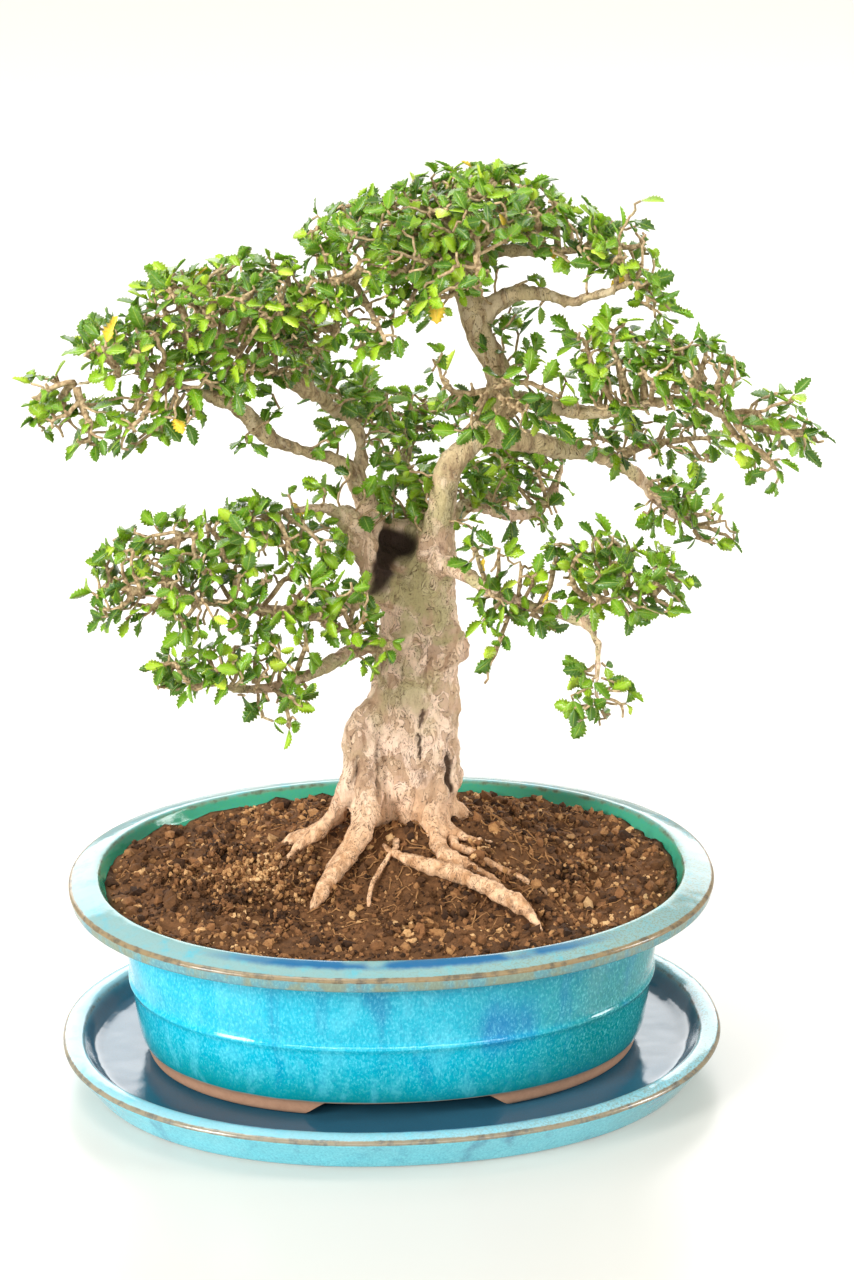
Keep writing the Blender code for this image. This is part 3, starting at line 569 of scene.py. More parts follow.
pot_glaze = glaze(
    "pot_glaze",
    half=pot_high[:2],
    clay_below=(BELLY_FOOT + 0.2) * MM,
    thick_below=(BELLY_FOOT + 2) * MM,
    runs_above=(POT_TOP - 36) * MM,
    band_above=(POT_TOP - 8) * MM,
    body=(0.004, 0.41, 0.56),
    low=(0.0, 0.25, 0.26),
    deep=(0.002, 0.17, 0.36),
    milk=(0.21, 0.36, 0.36),
    within=(0.05, 0.32, 0.13),
    blotch=(0.031, -0.061, 0.037),
    shade_from=0.025,
    shine=0.3,
)
tray_glaze = glaze(
    "tray_glaze",
    half=tray_high[:2],
    clay_below=-0.01,
    thick_below=-0.03,
    runs_above=0.004,
    band_above=1.0,
    body=(0.12, 0.56, 0.68),
    low=(0.04, 0.40, 0.48),
    deep=(0.01, 0.18, 0.34),
    milk=(0.28, 0.52, 0.57),
    # A dark navy inside: painted shadow of the pot on the tray's floor.
    within=(0.03, 0.085, 0.115),
    blotch=(0, 0, 1),
    shade_from=0.06,
    shine=0.6,
)
dress(pot, pot_glaze)
dress(tray, tray_glaze)
for piece, node in ((pot, "pot"), (tray, "drip_tray")):
    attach(piece, "root")
    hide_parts(node)
print("glazes:", pot_glaze.name, tray_glaze.name)

# %% [markdown]
# The drainage mesh lies under the soil, over the holes. It keeps its measured shape, which has all that
# such a mesh has, and gets a black plastic finish.

# %% Drainage mesh
mesh_finish = Finish("black_mesh")
mesh_grain = mesh_finish.noise(mesh_finish.place(), 900.0)
mesh_colour = mesh_finish.blend((0.012, 0.012, 0.013), (0.035, 0.035, 0.036), mesh_grain)
black_mesh = mesh_finish.wear(
    Base_Color=mesh_colour, Roughness=0.45 + mesh_grain * 0.2, Normal=mesh_finish.bump(mesh_grain, 0.00005)
)
for node in ("drain_mesh_left", "drain_mesh_right"):
    dress(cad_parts[node], black_mesh)
print("finish for the drainage mesh:", black_mesh.name)

# %% [markdown]
# Old potting soil is a bed of crumbs that has settled, mounded towards the trunk. The bed itself is an
# oval sheet of rings, drawn in code so that its height can come from a formula, with a skirt that goes
# down and in along the pot's wall.

# %% Soil bed
rng = np.random.default_rng(7)
SOIL_LEVEL = POT_TOP * MM - 4 * MM
WALL_INSET = 11.4 * MM
MOUND_RISE = 17.5 * MM
MOUND = np.array([8, 11]) * MM
SPREAD = np.array([38, 31]) * MM


def lump(x, y, size, seed):
    return noise.noise(Vector((x / size, y / size, seed)))


def soil_height(x, y):
    rise = MOUND_RISE * exp(-(((x - MOUND[0]) / SPREAD[0]) ** 2) - ((y - MOUND[1]) / SPREAD[1]) ** 2)
    clods = lump(x, y, 11 * MM, 1.5) * 1.5 * MM + lump(x, y, 4.5 * MM, 4.5) * 1.8 * MM
    clods += lump(x, y, 2 * MM, 9) * 0.7 * MM
    return SOIL_LEVEL + rise + clods


BED_RINGS = 60
SKIRT = 5 * MM
SKIRT_INSET = 9 * MM
bed_half = (pot_high[0] - WALL_INSET, pot_high[1] - WALL_INSET)
bed_points = [(0, 0, SOIL_LEVEL - SKIRT)]
for ring in range(-1, BED_RINGS):
    share = 1 - max(ring, 0) / BED_RINGS
    for step in range(OVAL_POINTS):
        x, y = oval_point(2 * pi * step / OVAL_POINTS)
        if ring < 0:
            inner = (x * (bed_half[0] - SKIRT_INSET), y * (bed_half[1] - SKIRT_INSET))
            bed_points.append((*inner, SOIL_LEVEL - SKIRT))
            continue
        x, y = x * bed_half[0] * share, y * bed_half[1] * share
        bed_points.append((x, y, soil_height(x, y)))
bed_points.append((0, 0, soil_height(0, 0)))
bed_faces = []
for ring in range(BED_RINGS):
    for step in range(OVAL_POINTS):
        here = 1 + ring * OVAL_POINTS
        after = (step + 1) % OVAL_POINTS
        bed_faces.append([here + step, here + after, here + OVAL_POINTS + after, here + OVAL_POINTS + step])
last = 1 + BED_RINGS * OVAL_POINTS
for step in range(OVAL_POINTS):
    after = (step + 1) % OVAL_POINTS
    bed_faces.append([0, 1 + after, 1 + step])
    bed_faces.append([last + step, last + after, len(bed_points) - 1])
bed = new_mesh("soil_bed", bed_points, bed_faces)
shade_smooth(bed)
print("soil bed:", len(bed.data.polygons), "faces")

# %% [markdown]
# The crumbs are what makes soil read as soil. A crumb is an icosahedron, knocked out of round. Six of
# them are copied some thousands of times over the bed, small ones most often, each turned and scaled by
# chance, and each carries its own tone.

# %% Crumbs
def crumb_shape(seed):
    """A lump of 20 faces about 1 across."""
    drop_selection()
    bpy.ops.mesh.primitive_ico_sphere_add(subdivisions=1, radius=0.5)
    crumb = bpy.context.object
    points = points_of(crumb)
    turns = np.random.default_rng(seed)
    points *= 1 + turns.uniform(-0.42, 0.30, (len(points), 1))
    points *= (1, turns.uniform(0.7, 1), turns.uniform(0.6, 0.85))
    faces = np.array([list(polygon.vertices) for polygon in crumb.data.polygons])
    bpy.data.objects.remove(crumb)
    return points, faces


def turned(generator, count):
    """Random rotation matrices."""
    quaternions = generator.normal(size=(count, 4))
    w, x, y, z = (quaternions / np.linalg.norm(quaternions, axis=1, keepdims=True)).T
    return np.stack(
        [
            np.stack([1 - 2 * (y * y + z * z), 2 * (x * y - z * w), 2 * (x * z + y * w)], 1),
            np.stack([2 * (x * y + z * w), 1 - 2 * (x * x + z * z), 2 * (y * z - x * w)], 1),
            np.stack([2 * (x * z - y * w), 2 * (y * z + x * w), 1 - 2 * (x * x + y * y)], 1),
        ],
        1,
    )


wood_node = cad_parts["tree_wood"]
wood_tree = BVHTree.FromPolygons(
    [vertex.co for vertex in wood_node.data.vertices], [list(p.vertices) for p in wood_node.data.polygons]
)
shapes = [crumb_shape(seed) for seed in range(6)]


def scatter(name, count, clumped):
    """Crumbs over the bed as one piece: loose ones anywhere, or stuck together in knobbly clumps."""
    points, faces, tones, heaps = [], [], [], []
    total = 0
    for number in range(count):
        angle, share = rng.uniform(0, 2 * pi), sqrt(rng.uniform(0, 1)) * 0.985
        x, y = oval_point(angle)
        x, y = x * bed_half[0] * share, y * bed_half[1] * share
        size = min(5.5, float(rng.lognormal(0.12, 0.62))) * MM
        pile = 0.0
        if clumped:
            if number % 40 == 0:
                # One clump in three lies anywhere, and the rest left of the trunk.
                left = rng.normal((-44, -4), (13, 11)) * MM
                middle = left if len(heaps) % 3 else (x * 0.8, y * 0.8)
                heaps.append((*middle, rng.uniform(2.0, 4.4) * MM))
            heap_x, heap_y, heap_size = heaps[-1]
            x, y = rng.normal((heap_x, heap_y), heap_size * 0.6)
            from_middle = sqrt((x - heap_x) ** 2 + (y - heap_y) ** 2)
            pile = max(0.0, 1.4 * heap_size - from_middle) * rng.uniform(0, 1)
            size = rng.uniform(0.9, 2.6) * MM
        spot = Vector((x, y, soil_height(x, y) + pile + size * rng.uniform(-0.12, 0.22)))
        near = wood_tree.find_nearest(spot, 6 * MM)
        if near[0] is not None and near[3] < size * 0.35:
            continue
        shape, shape_faces = shapes[number % len(shapes)]
        turn = turned(rng, 1)[0]
        points.append(shape @ turn.T * size + np.array(spot))
        faces.append(shape_faces + total)
        patch = lump(x, y, 12 * MM, 20.5) * 0.3
        patch += 0.22 * exp(-(((x + 0.040) / 0.016) ** 2) - ((y + 0.004) / 0.012) ** 2)
        tones.append(np.full(len(shape), np.clip(rng.beta(1.1, 1.7) + patch, 0, 1)))
        total += len(shape)
    made = new_mesh(name, np.vstack(points), np.vstack(faces))
    set_attribute(made, "tone", np.concatenate(tones))
    print(name, len(made.data.polygons), "faces")
    return made


crumbs = scatter("soil_crumbs", 9600, clumped=False)
clumps = scatter("soil_clumps", 3400, clumped=True)

# %% [markdown]
# Damp soil is nearly black in its hollows, red-brown where it is open and ochre on the dry crumbs. The
# bed takes its tone from a broad noise. The crumbs take theirs from the tone that each carries, so that
# neighbours differ as real ones do.

# %% Soil finish
def soil_finish(name, loose):
    finish = Finish(name)
    place = finish.place()
    grit = finish.noise(place, 900.0, 5.0, 0.7)
    patch = finish.noise(place, 60.0, 3.0)
    tone = finish.attribute("tone") if loose else patch * 0.62
    stops = [
        (0.0, (0.030, 0.012, 0.004)),
        (0.30, (0.12, 0.052, 0.018)),
        (0.55, (0.23, 0.100, 0.036)),
        (0.80, (0.42, 0.215, 0.080)),
        (1.0, (0.66, 0.41, 0.19)),
    ]
    colour = finish.palette(tone + (grit - 0.5) * 0.6, stops)
    colour = finish.blend(colour, (0.045, 0.018, 0.008), patch.ramp(0.55, 0.78) * 0.4)
    skin = finish.bump(grit, 0.0005, 0.8)
    return finish.wear(Base_Color=colour, Roughness=0.82 + grit * 0.15, Normal=skin, Specular_IOR_Level=0.3)


dress(bed, soil_finish("damp_soil", False))
soil_crumb = soil_finish("soil_crumb", True)
dress(crumbs, soil_crumb)
dress(clumps, soil_crumb)
for piece in (bed, crumbs, clumps):
    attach(piece, "root")
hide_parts("soil")
print("soil pieces:", bed.name, crumbs.name, clumps.name)

# %% [markdown]
# Trunk, roots and limbs are one piece of wood. The measured solid has the right run and thickness, but
# it is coarse. It could be sculpted, but a copy of it keeps the run: the copy is skinned afresh with small
# voxels and relaxed, and then the bark is raised on it by code.

# %% Wood
pick(wood_node)
bpy.ops.object.duplicate()
wood = bpy.context.object
wood.name = "bark_and_roots"
wood.parent = None
wood.matrix_world = Matrix.Identity(4)
bpy.ops.object.mode_set(mode="EDIT")
bpy.ops.mesh.select_all(action="SELECT")
bpy.ops.mesh.remove_doubles(threshold=0.00002)
bpy.ops.object.mode_set(mode="OBJECT")
skin = wood.modifiers.new("skin", "REMESH")
skin.mode = "VOXEL"
skin.voxel_size = 0.85 * MM
relax = wood.modifiers.new("relax", "SMOOTH")
relax.factor = 0.6
relax.iterations = 6
apply_modifiers(wood)
print("wood:", len(wood.data.polygons), "faces")

# %% [markdown]
# An old elm trunk swells and dips, and its bark lies in plates that flake off and leave steps. The relief
# is worked out point by point, and each point moves along its own normal. Real relief is used for what is
# deeper than about a tenth of a millimetre, and a bump in the finish for what is finer.

# %% Bark relief
points = points_of(wood)
normals = np.empty(len(points) * 3, np.float32)
wood.data.vertices.foreach_get("normal", normals)
normals = normals.reshape(-1, 3).astype(float)


def field(points, size, stretch=(1, 1, 1), seed=0.0):
    """Smooth noise at every point, between about -1 and 1."""
    scaled = points / (size * MM * np.array(stretch)) + seed
    return np.array([noise.noise(Vector(p)) for p in scaled])


def crack_field(points, size, stretch, seed=0.0):
    """0 along the borders of stretched cells, rising to about 1 inside them."""
    scaled = points / (size * MM * np.array(stretch)) + seed
    gap = np.empty(len(points))
    for i, p in enumerate(scaled):
        distances = noise.voronoi(Vector(p))[0]
        gap[i] = distances[1] - distances[0]
    return gap


trunk_axis = np.array([9, 14]) * MM
from_axis = np.hypot(points[:, 0] - trunk_axis[0], points[:, 1] - trunk_axis[1])
on_trunk = np.clip((24 * MM - from_axis) / (8 * MM), 0, 1)
on_trunk *= np.clip((178 * MM - points[:, 2]) / (14 * MM), 0, 1)
on_trunk *= np.clip((points[:, 2] - 76 * MM) / (8 * MM), 0, 1)
thick = 0.25 + 0.75 * on_trunk

swell = field(points, 11, (1, 1, 1.4), 3.1) * 1.1 + field(points, 5, (1, 1, 1.6), 7.7) * 0.5
ridges = (1 - np.abs(field(points, 3.4, (1, 1, 2.2), 61.0)) * 2.2) * 0.34
grit = field(points, 1.6, (1, 1, 1.3), 1.2) * 0.28 + ridges * (0.45 + 0.55 * on_trunk)
bent = points + np.stack([field(points, 6, seed=seed) for seed in (11, 17, 23)], 1) * 1.6 * MM
gap = crack_field(bent, 8.5, (1, 1, 1.9), 2.0)
cracks = np.clip(1 - gap / 0.11, 0, 1) * np.clip(field(points, 16, seed=31) * 2.2 + 0.55, 0, 1)
pits = np.clip(0.32 - crack_field(bent, 3.1, (1, 1, 1.3), 5.0), 0, 1)
pits *= np.clip(field(points, 9, seed=41) * 2, 0, 1)
plate = field(bent, 4.2, (1, 1, 1.8), 53.0)
flakes = (np.clip(plate * 12, -1, 1) + np.clip((plate - 0.25) * 12, -1, 1)) * 0.26 * thick
chips = np.clip(field(bent, 2.1, (1, 1, 1.6), 71.0) * 8, -1, 1) * 0.16
shift = swell * (0.35 + 0.65 * on_trunk) + grit + flakes + chips - cracks * 0.35 * thick - pits * 0.5
print("bark relief on", len(points), "points")

# %% [markdown]
# Long splits open where the trunk has dried, furrows part the roots where they join it, and the wood in
# the fork has rotted to a hollow. Each is given as two ends or as a route, and pushed in. How
# deep a point goes is kept in an attribute, so that the finish can darken it.

# %% Splits, furrows and the hollow
# Start, end, width and depth, in millimetres.
SPLITS = [
    ((17.0, 1, 111), (18.5, 3, 88), 1.3, 3.0),
    ((8.5, 0, 111), (9, 0, 101), 1.0, 1.3),
    ((10.5, 0, 119), (8.5, 0, 112), 1.1, 1.2),
    ((2.5, 0, 118), (1.5, 0, 103), 0.8, 1.4),
    ((5.5, -1, 132), (8.0, -1, 124), 0.8, 1.3),
    ((13.0, -1, 127), (17.5, 1, 121), 0.8, 1.2),
]
FURROWS = [
    ((-4.5, 1, 117), (-3, -1, 84), 1.7, 2.6),
    ((-9.5, 2, 104), (-14.5, 0, 82), 1.2, 1.6),
    ((1.5, -1, 96), (-0.5, -3, 80), 1.2, 1.5),
    ((14.5, -1, 92), (17, -6, 78), 1.2, 1.5),
]
HOLLOW_ROUTE = [(-2.4, -2, 159.5), (-0.8, 1, 163), (0.9, 4, 166), (2.2, 8, 168.5), (3.0, 12, 170)]


def groove(points, start, end, width, depth):
    """A split that runs between two points and closes towards its ends."""
    start, end = np.array(start) * MM, np.array(end) * MM
    along = end - start
    share = np.clip((points - start) @ along / (along @ along), 0, 1)
    wobble = np.sin(share * 19) * 0.35 * MM
    away = points - (start + share[:, None] * along)
    away[:, 0] += wobble
    distance = np.linalg.norm(away * (1, 0.35, 1), axis=1)
    opening = width * MM * np.sin(np.clip(share, 0.03, 0.97) * pi) ** 0.5
    return np.clip(1 - distance / opening, 0, 1) ** 0.7 * depth


splits = sum(groove(points, *split) for split in SPLITS)
furrows = sum(groove(points, *furrow) for furrow in FURROWS)
shift -= splits + furrows

stations = np.linspace(0, len(HOLLOW_ROUTE) - 1, 13)
corners = np.arange(len(HOLLOW_ROUTE))
route_lines = (np.array(HOLLOW_ROUTE) * MM).T
hollow_spine = np.column_stack([np.interp(stations, corners, line) for line in route_lines])
to_hollow = np.min([np.linalg.norm(points - p, axis=1) for p in hollow_spine], axis=0)
shift -= np.clip(1.5 - (to_hollow + field(points, 3, seed=83) * 0.8 * MM) / (4.4 * MM), 0, 1) * 2.8
set_points(wood, points + normals * shift[:, None] * MM)
# The deeper, the darker: partly darker inner bark and rotten wood, and partly painted shade of the depth of
# cracks, pits, splits, furrows and the hollow.
darkness = cracks * thick * 0.35 + pits * 0.7 + splits * 0.8 + furrows * 0.3
set_attribute(wood, "crack", np.clip(darkness, 0, 1))
set_attribute(wood, "hollow", np.clip(1.5 - to_hollow / (5.2 * MM), 0, 1))
set_attribute(wood, "trunk", on_trunk)
shade_smooth(wood)
print("relief from", round(float(shift.min()), 2), "to", round(float(shift.max()), 2), "mm")

# %% [markdown]
# Elm bark is pale tan with pinkish new flakes and grey-green algae on its older face. The surface roots
# are warmer, the limbs greyer, and every crack and the rotted hollow in the fork are dark brown, partly
# from dark inner bark and rotten wood and partly as painted shade of their depth. Each tint is laid over
# the last one through its own mask, as a model maker would paint it.

# %% Bark finish
def bark_finish():
    finish = Finish("elm_bark")
    place = finish.place()
    height = finish.axis(place, "Z")
    along = finish.noise(finish.stretched(1, 1, 0.35), 260.0, 5.0, 0.65)
    fine = finish.noise(place, 1100.0, 4.0, 0.65)
    patch = finish.noise(place, 70.0, 4.0, 0.6, 0.3)
    flake = finish.noise(finish.stretched(1, 1, 0.7), 150.0, 3.0, 0.55, 0.6)
    trunk = finish.attribute("trunk")
    plates = finish.noise(finish.stretched(1, 1, 0.55), 190.0, 4.0, 0.6, 0.9)
    first, second = plates.ramp(0.46, 0.475), plates.ramp(0.545, 0.56)
    edges = first * (1 - first) * 4.0 + second * (1 - second) * 4.0

    old = finish.blend((0.84, 0.61, 0.42), (0.50, 0.32, 0.20), along.ramp(0.40, 0.68))
    colour = finish.blend(old, (0.90, 0.66, 0.50), flake.ramp(0.44, 0.54) * (0.3 + trunk * 0.7))
    colour = finish.blend(colour, (0.42, 0.22, 0.13), flake.ramp(0.62, 0.70) * 0.6)
    colour = finish.blend(colour, (0.86, 0.66, 0.49), second * 0.55)
    colour = finish.blend(colour, (0.40, 0.24, 0.14), (1 - first) * 0.6)
    mossy = finish.blend((0.56, 0.48, 0.23), (0.36, 0.34, 0.16), fine)
    moss_mask = patch.ramp(0.46, 0.60) * (height + patch * 0.05).ramp(0.120, 0.170)
    colour = finish.blend(colour, mossy, moss_mask * 0.8)
    root = finish.blend((0.50, 0.26, 0.12), (0.90, 0.58, 0.35), along.ramp(0.35, 0.65))
    colour = finish.blend(root, colour, (height + patch * 0.012).ramp(0.082, 0.104))
    dust = finish.noise(place, 320.0, 4.0, 0.7)
    dusty = dust.ramp(0.50, 0.70) * (1 - height.ramp(0.068, 0.086))
    colour = finish.blend(colour, (0.20, 0.10, 0.05), dusty * 0.7)
    limb = finish.blend((0.62, 0.49, 0.27), (0.32, 0.22, 0.11), along.ramp(0.38, 0.66))
    limb = finish.blend(limb, (0.60, 0.50, 0.33), second * 0.5)
    colour = finish.blend(colour, limb, height.ramp(0.165, 0.205) * 0.85)
    colour = finish.blend(colour, (0.20, 0.115, 0.065), fine.ramp(0.54, 0.72) * 0.5)
    colour = finish.blend(colour, (0.15, 0.08, 0.045), along.ramp(0.58, 0.70) * 0.55)
    colour = finish.blend(colour, (0.16, 0.08, 0.045), edges.ramp(0.2, 0.9) * 0.75)
    # Cracks and the hollow darken with their depth: partly their own dark wood, partly painted shade.
    colour = finish.blend(colour, (0.06, 0.028, 0.014), finish.attribute("crack").ramp(0.15, 0.8) * 0.9)
    colour = finish.blend(colour, (0.022, 0.008, 0.004), finish.attribute("hollow").ramp(0.25, 0.75) * 0.97)

    scales = finish.cells(finish.stretched(1, 1, 0.5), 330.0)
    skin = finish.bump(first + second + along * 1.6 + scales * 0.4, 0.0009, 1.0)
    skin = finish.bump(fine, 0.0004, 0.8, under=skin)
    return finish.wear(Base_Color=colour, Roughness=0.72 + fine * 0.2, Normal=skin, Specular_IOR_Level=0.35)


elm_bark = bark_finish()
dress(wood, elm_bark)
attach(wood, "root")
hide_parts("tree_wood")
print("wood finish:", elm_bark.name)

# %% [markdown]
# An elm leaf is a small oval with a toothed edge, folded a little along its midrib. One leaf is a grid
# whose three lines of points are shaped row by row. Its underside is a second set of faces that shares
# the edge, with the midrib set lower. Three leaves with a different curl are enough for the whole tree.

# %% Leaves
LEAF_ROWS = 14


def half_width(share):
    """Half the leaf's width at a share of its length, for a length of 1."""
    if share < 0.10:
        return 0.018
    return 0.018 + 0.285 * sin(pi * ((share - 0.10) / 0.90) ** 0.86) ** 0.72


def leaf_shape(curl, fold, sway):
    drop_selection()
    bpy.ops.mesh.primitive_grid_add(x_subdivisions=2, y_subdivisions=LEAF_ROWS, size=1)
    leaf = bpy.context.object
    blade = []
    for vertex in leaf.data.vertices:
        row = round((vertex.co.y + 0.5) * LEAF_ROWS)
        side = round(vertex.co.x * 2)
        share = row / LEAF_ROWS
        tooth = (0.78 if row % 2 else 1.12) if 2 < row < LEAF_ROWS else 1.0
        across = side * half_width(share) * tooth
        lean = 0.03 if side and row % 2 == 0 and 2 < row < LEAF_ROWS else 0.0
        rise = abs(across) * fold - curl * share**2 + sway * sin(share * 7) * across
        vertex.co = (across, share + lean, rise)
        blade.append((side, share))
    bpy.ops.object.mode_set(mode="EDIT")
    bpy.ops.mesh.select_all(action="SELECT")
    bpy.ops.mesh.normals_make_consistent(inside=False)
    bpy.ops.object.mode_set(mode="OBJECT")
    points = points_of(leaf)
    count = len(points)
    quads = [list(polygon.vertices) for polygon in leaf.data.polygons]
    if leaf.data.polygons[0].normal.z < 0:
        quads = [quad[::-1] for quad in quads]
    bpy.data.objects.remove(leaf)
    blade = np.array(blade, float)
    # The underside shares the edge with the upper side, so only the midrib is doubled.
    inner = [i for i in range(count) if blade[i, 0] == 0 and 0 < blade[i, 1] < 1]
    under = {i: count + n for n, i in enumerate(inner)}
    below = points[inner] - (0, 0, 0.03)
    lower = [[under.get(i, i) for i in quad[::-1]] for quad in quads]
    all_points = np.vstack([points, below])
    all_blade = np.vstack([blade, blade[inner]])
    return all_points, quads + lower, all_blade, len(quads)


leaf_shapes = [leaf_shape(0.10, 0.30, 0.0), leaf_shape(0.26, 0.18, 0.35), leaf_shape(-0.06, 0.42, -0.25)]
print("leaf:", len(leaf_shapes[0][1]), "faces")

# %% [markdown]
# The finest twigs grow the way that real ones do, towards free space. Each pad of foliage is filled
# with points that want a twig. From the wood, every twig grows a short step towards the points that
# are nearest to it, and a point is done with once a twig has come close. Twigs thicken towards the
# wood by the sum of what they carry.

# %% Twigs
def inside_of(tree, point):
    """Whether a point is inside a closed skin: its nearest face looks away from it."""
    spot, normal, _, _ = tree.find_nearest(point)
    return (point - spot).dot(normal) < 0


def skin_tree(node):
    mesh = node.data
    return BVHTree.FromPolygons([v.co for v in mesh.vertices], [list(p.vertices) for p in mesh.polygons])


wood_points = points_of(wood_node)


def fill_pad(node, spacing, generator):
    """Points inside a pad, more of them towards its top and its outside."""
    low, high = [Vector(corner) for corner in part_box(node.name)]
    tree = skin_tree(node)
    volume = (high.x - low.x) * (high.y - low.y) * (high.z - low.z)
    wanted = int(volume / spacing**3)
    found = []
    for _ in range(wanted):
        spot = Vector([generator.uniform(a, b) for a, b in zip(low, high)])
        if not inside_of(tree, spot):
            continue
        depth = tree.find_nearest(spot)[3]
        top_share = (spot.z - low.z) / (high.z - low.z)
        if generator.uniform() < 0.35 + 0.65 * exp(-depth / (5 * MM)) + 0.2 * top_share - 0.1:
            found.append(spot)
    return np.array(found), tree


def grow_twigs(targets, starts, step=2.0 * MM, reach=60 * MM, done=2.4 * MM, rounds=90, generator=None):
    """Nodes and each node's parent; a parent of -1 is a start, on the wood."""
    nodes = [np.array(s) for s in starts]
    parents = [-1] * len(nodes)
    alive = np.ones(len(targets), bool)
    headings = {}
    for _ in range(rounds):
        if not alive.any():
            break
        every = np.array(nodes)
        wants = targets[alive]
        gaps = np.linalg.norm(wants[:, None] - every[None], axis=2)
        nearest = gaps.argmin(1)
        distance = gaps[np.arange(len(wants)), nearest]
        grown = False
        for index in np.unique(nearest):
            mine = (nearest == index) & (distance < reach)
            if not mine.any():
                continue
            pull = wants[mine] - every[index]
            pull /= np.linalg.norm(pull, axis=1, keepdims=True) + 1e-9
            heading = pull.sum(0) + generator.normal(0, 0.25, 3)
            heading /= np.linalg.norm(heading) + 1e-9
            if index in headings and heading @ headings[index] > 0.98:
                heading = heading + generator.normal(0, 0.5, 3)
                heading /= np.linalg.norm(heading)
            headings[index] = heading
            nodes.append(every[index] + heading * step)
            parents.append(int(index))
            grown = True
        if not grown:
            break
        fresh = np.array(nodes)
        gaps = np.linalg.norm(targets[:, None] - fresh[None], axis=2).min(1)
        alive &= gaps > done
    return np.array(nodes), np.array(parents)


def twig_sizes(parents, tip=0.40 * MM, power=2.5):
    """Each node's radius, from the tips that it carries."""
    load = np.zeros(len(parents))
    children = np.zeros(len(parents), int)
    for index in range(len(parents) - 1, -1, -1):
        if children[index] == 0:
            load[index] = tip**power
        if parents[index] >= 0:
            load[parents[index]] += load[index]
            children[parents[index]] += 1
    return load ** (1 / power), children


# %% [markdown]
# Twigs become five-sided tubes, each drawn from its fork to its tip. Leaves sit alternately along the
# thin ends, turned up and out towards the light, each at its own angle. The tube and leaf builders only
# collect points and faces, so that a whole pad is made as one piece.

# %% Tubes and sprays
TUBE_SIDES = 5


class Heap:
    """Points and faces that will be one piece."""

    def __init__(self):
        self.points, self.faces, self.total = [], [], 0

    def add(self, points, faces):
        self.points.append(points)
        self.faces += [[i + self.total for i in face] for face in faces]
        self.total += len(points)


def tube(heap, spine, radii):
    """A closed tube along a spine."""
    spine, radii = np.asarray(spine), np.asarray(radii)
    rings = []
    side = np.array([0.31, 0.77, 0.56])
    for index in range(len(spine)):
        along = spine[min(index + 1, len(spine) - 1)] - spine[max(index - 1, 0)]
        along /= np.linalg.norm(along) + 1e-12
        side = side - along * (side @ along)
        side /= np.linalg.norm(side) + 1e-12
        other = np.cross(along, side)
        angles = 2 * pi * np.arange(TUBE_SIDES) / TUBE_SIDES
        circle = np.outer(np.cos(angles), side) + np.outer(np.sin(angles), other)
        rings.append(spine[index] + radii[index] * circle)
    faces = []
    for ring in range(len(spine) - 1):
        for step in range(TUBE_SIDES):
            after = (step + 1) % TUBE_SIDES
            low, high = ring * TUBE_SIDES, (ring + 1) * TUBE_SIDES
            faces.append([low + step, low + after, high + after, high + step])
    faces.append(list(range(TUBE_SIDES))[::-1])
    faces.append([(len(spine) - 1) * TUBE_SIDES + step for step in range(TUBE_SIDES)])
    heap.add(np.vstack(rings), faces)


def chains(parents, children):
    """Runs of nodes, each from a fork or a start to the next fork or a tip."""
    found = []
    for index in range(len(parents)):
        if children[index] == 1 and parents[index] >= 0:
            continue
        run = [index]
        while parents[run[-1]] >= 0:
            run.append(parents[run[-1]])
            if children[run[-1]] != 1:
                break
        if len(run) > 1:
            found.append(run[::-1])
    return found


def unit(vector):
    return vector / (np.linalg.norm(vector) + 1e-12)


def leaf_frame(direction, facing):
    """Columns: across, along and up of a leaf."""
    along = unit(direction)
    up = unit(facing - along * (facing @ along))
    return np.stack([np.cross(along, up), along, up], 1)


# %% [markdown]
# Leaves sit on the thin ends of the twigs, and two at every tip. Each turns towards the outside of its pad
# and the light. The leaves of one pad are one piece, with a tone for each leaf, and with a bake map in which
# each leaf has its own cell, with room for all of them.

# %% Leaves on the twigs
LEAFY_RADIUS = 0.62 * MM
LEAF_LENGTHS = (4.6, 8.8)
YELLOW_SHARE = 0.004
tree_middle = np.array([9, 14, 190]) * MM


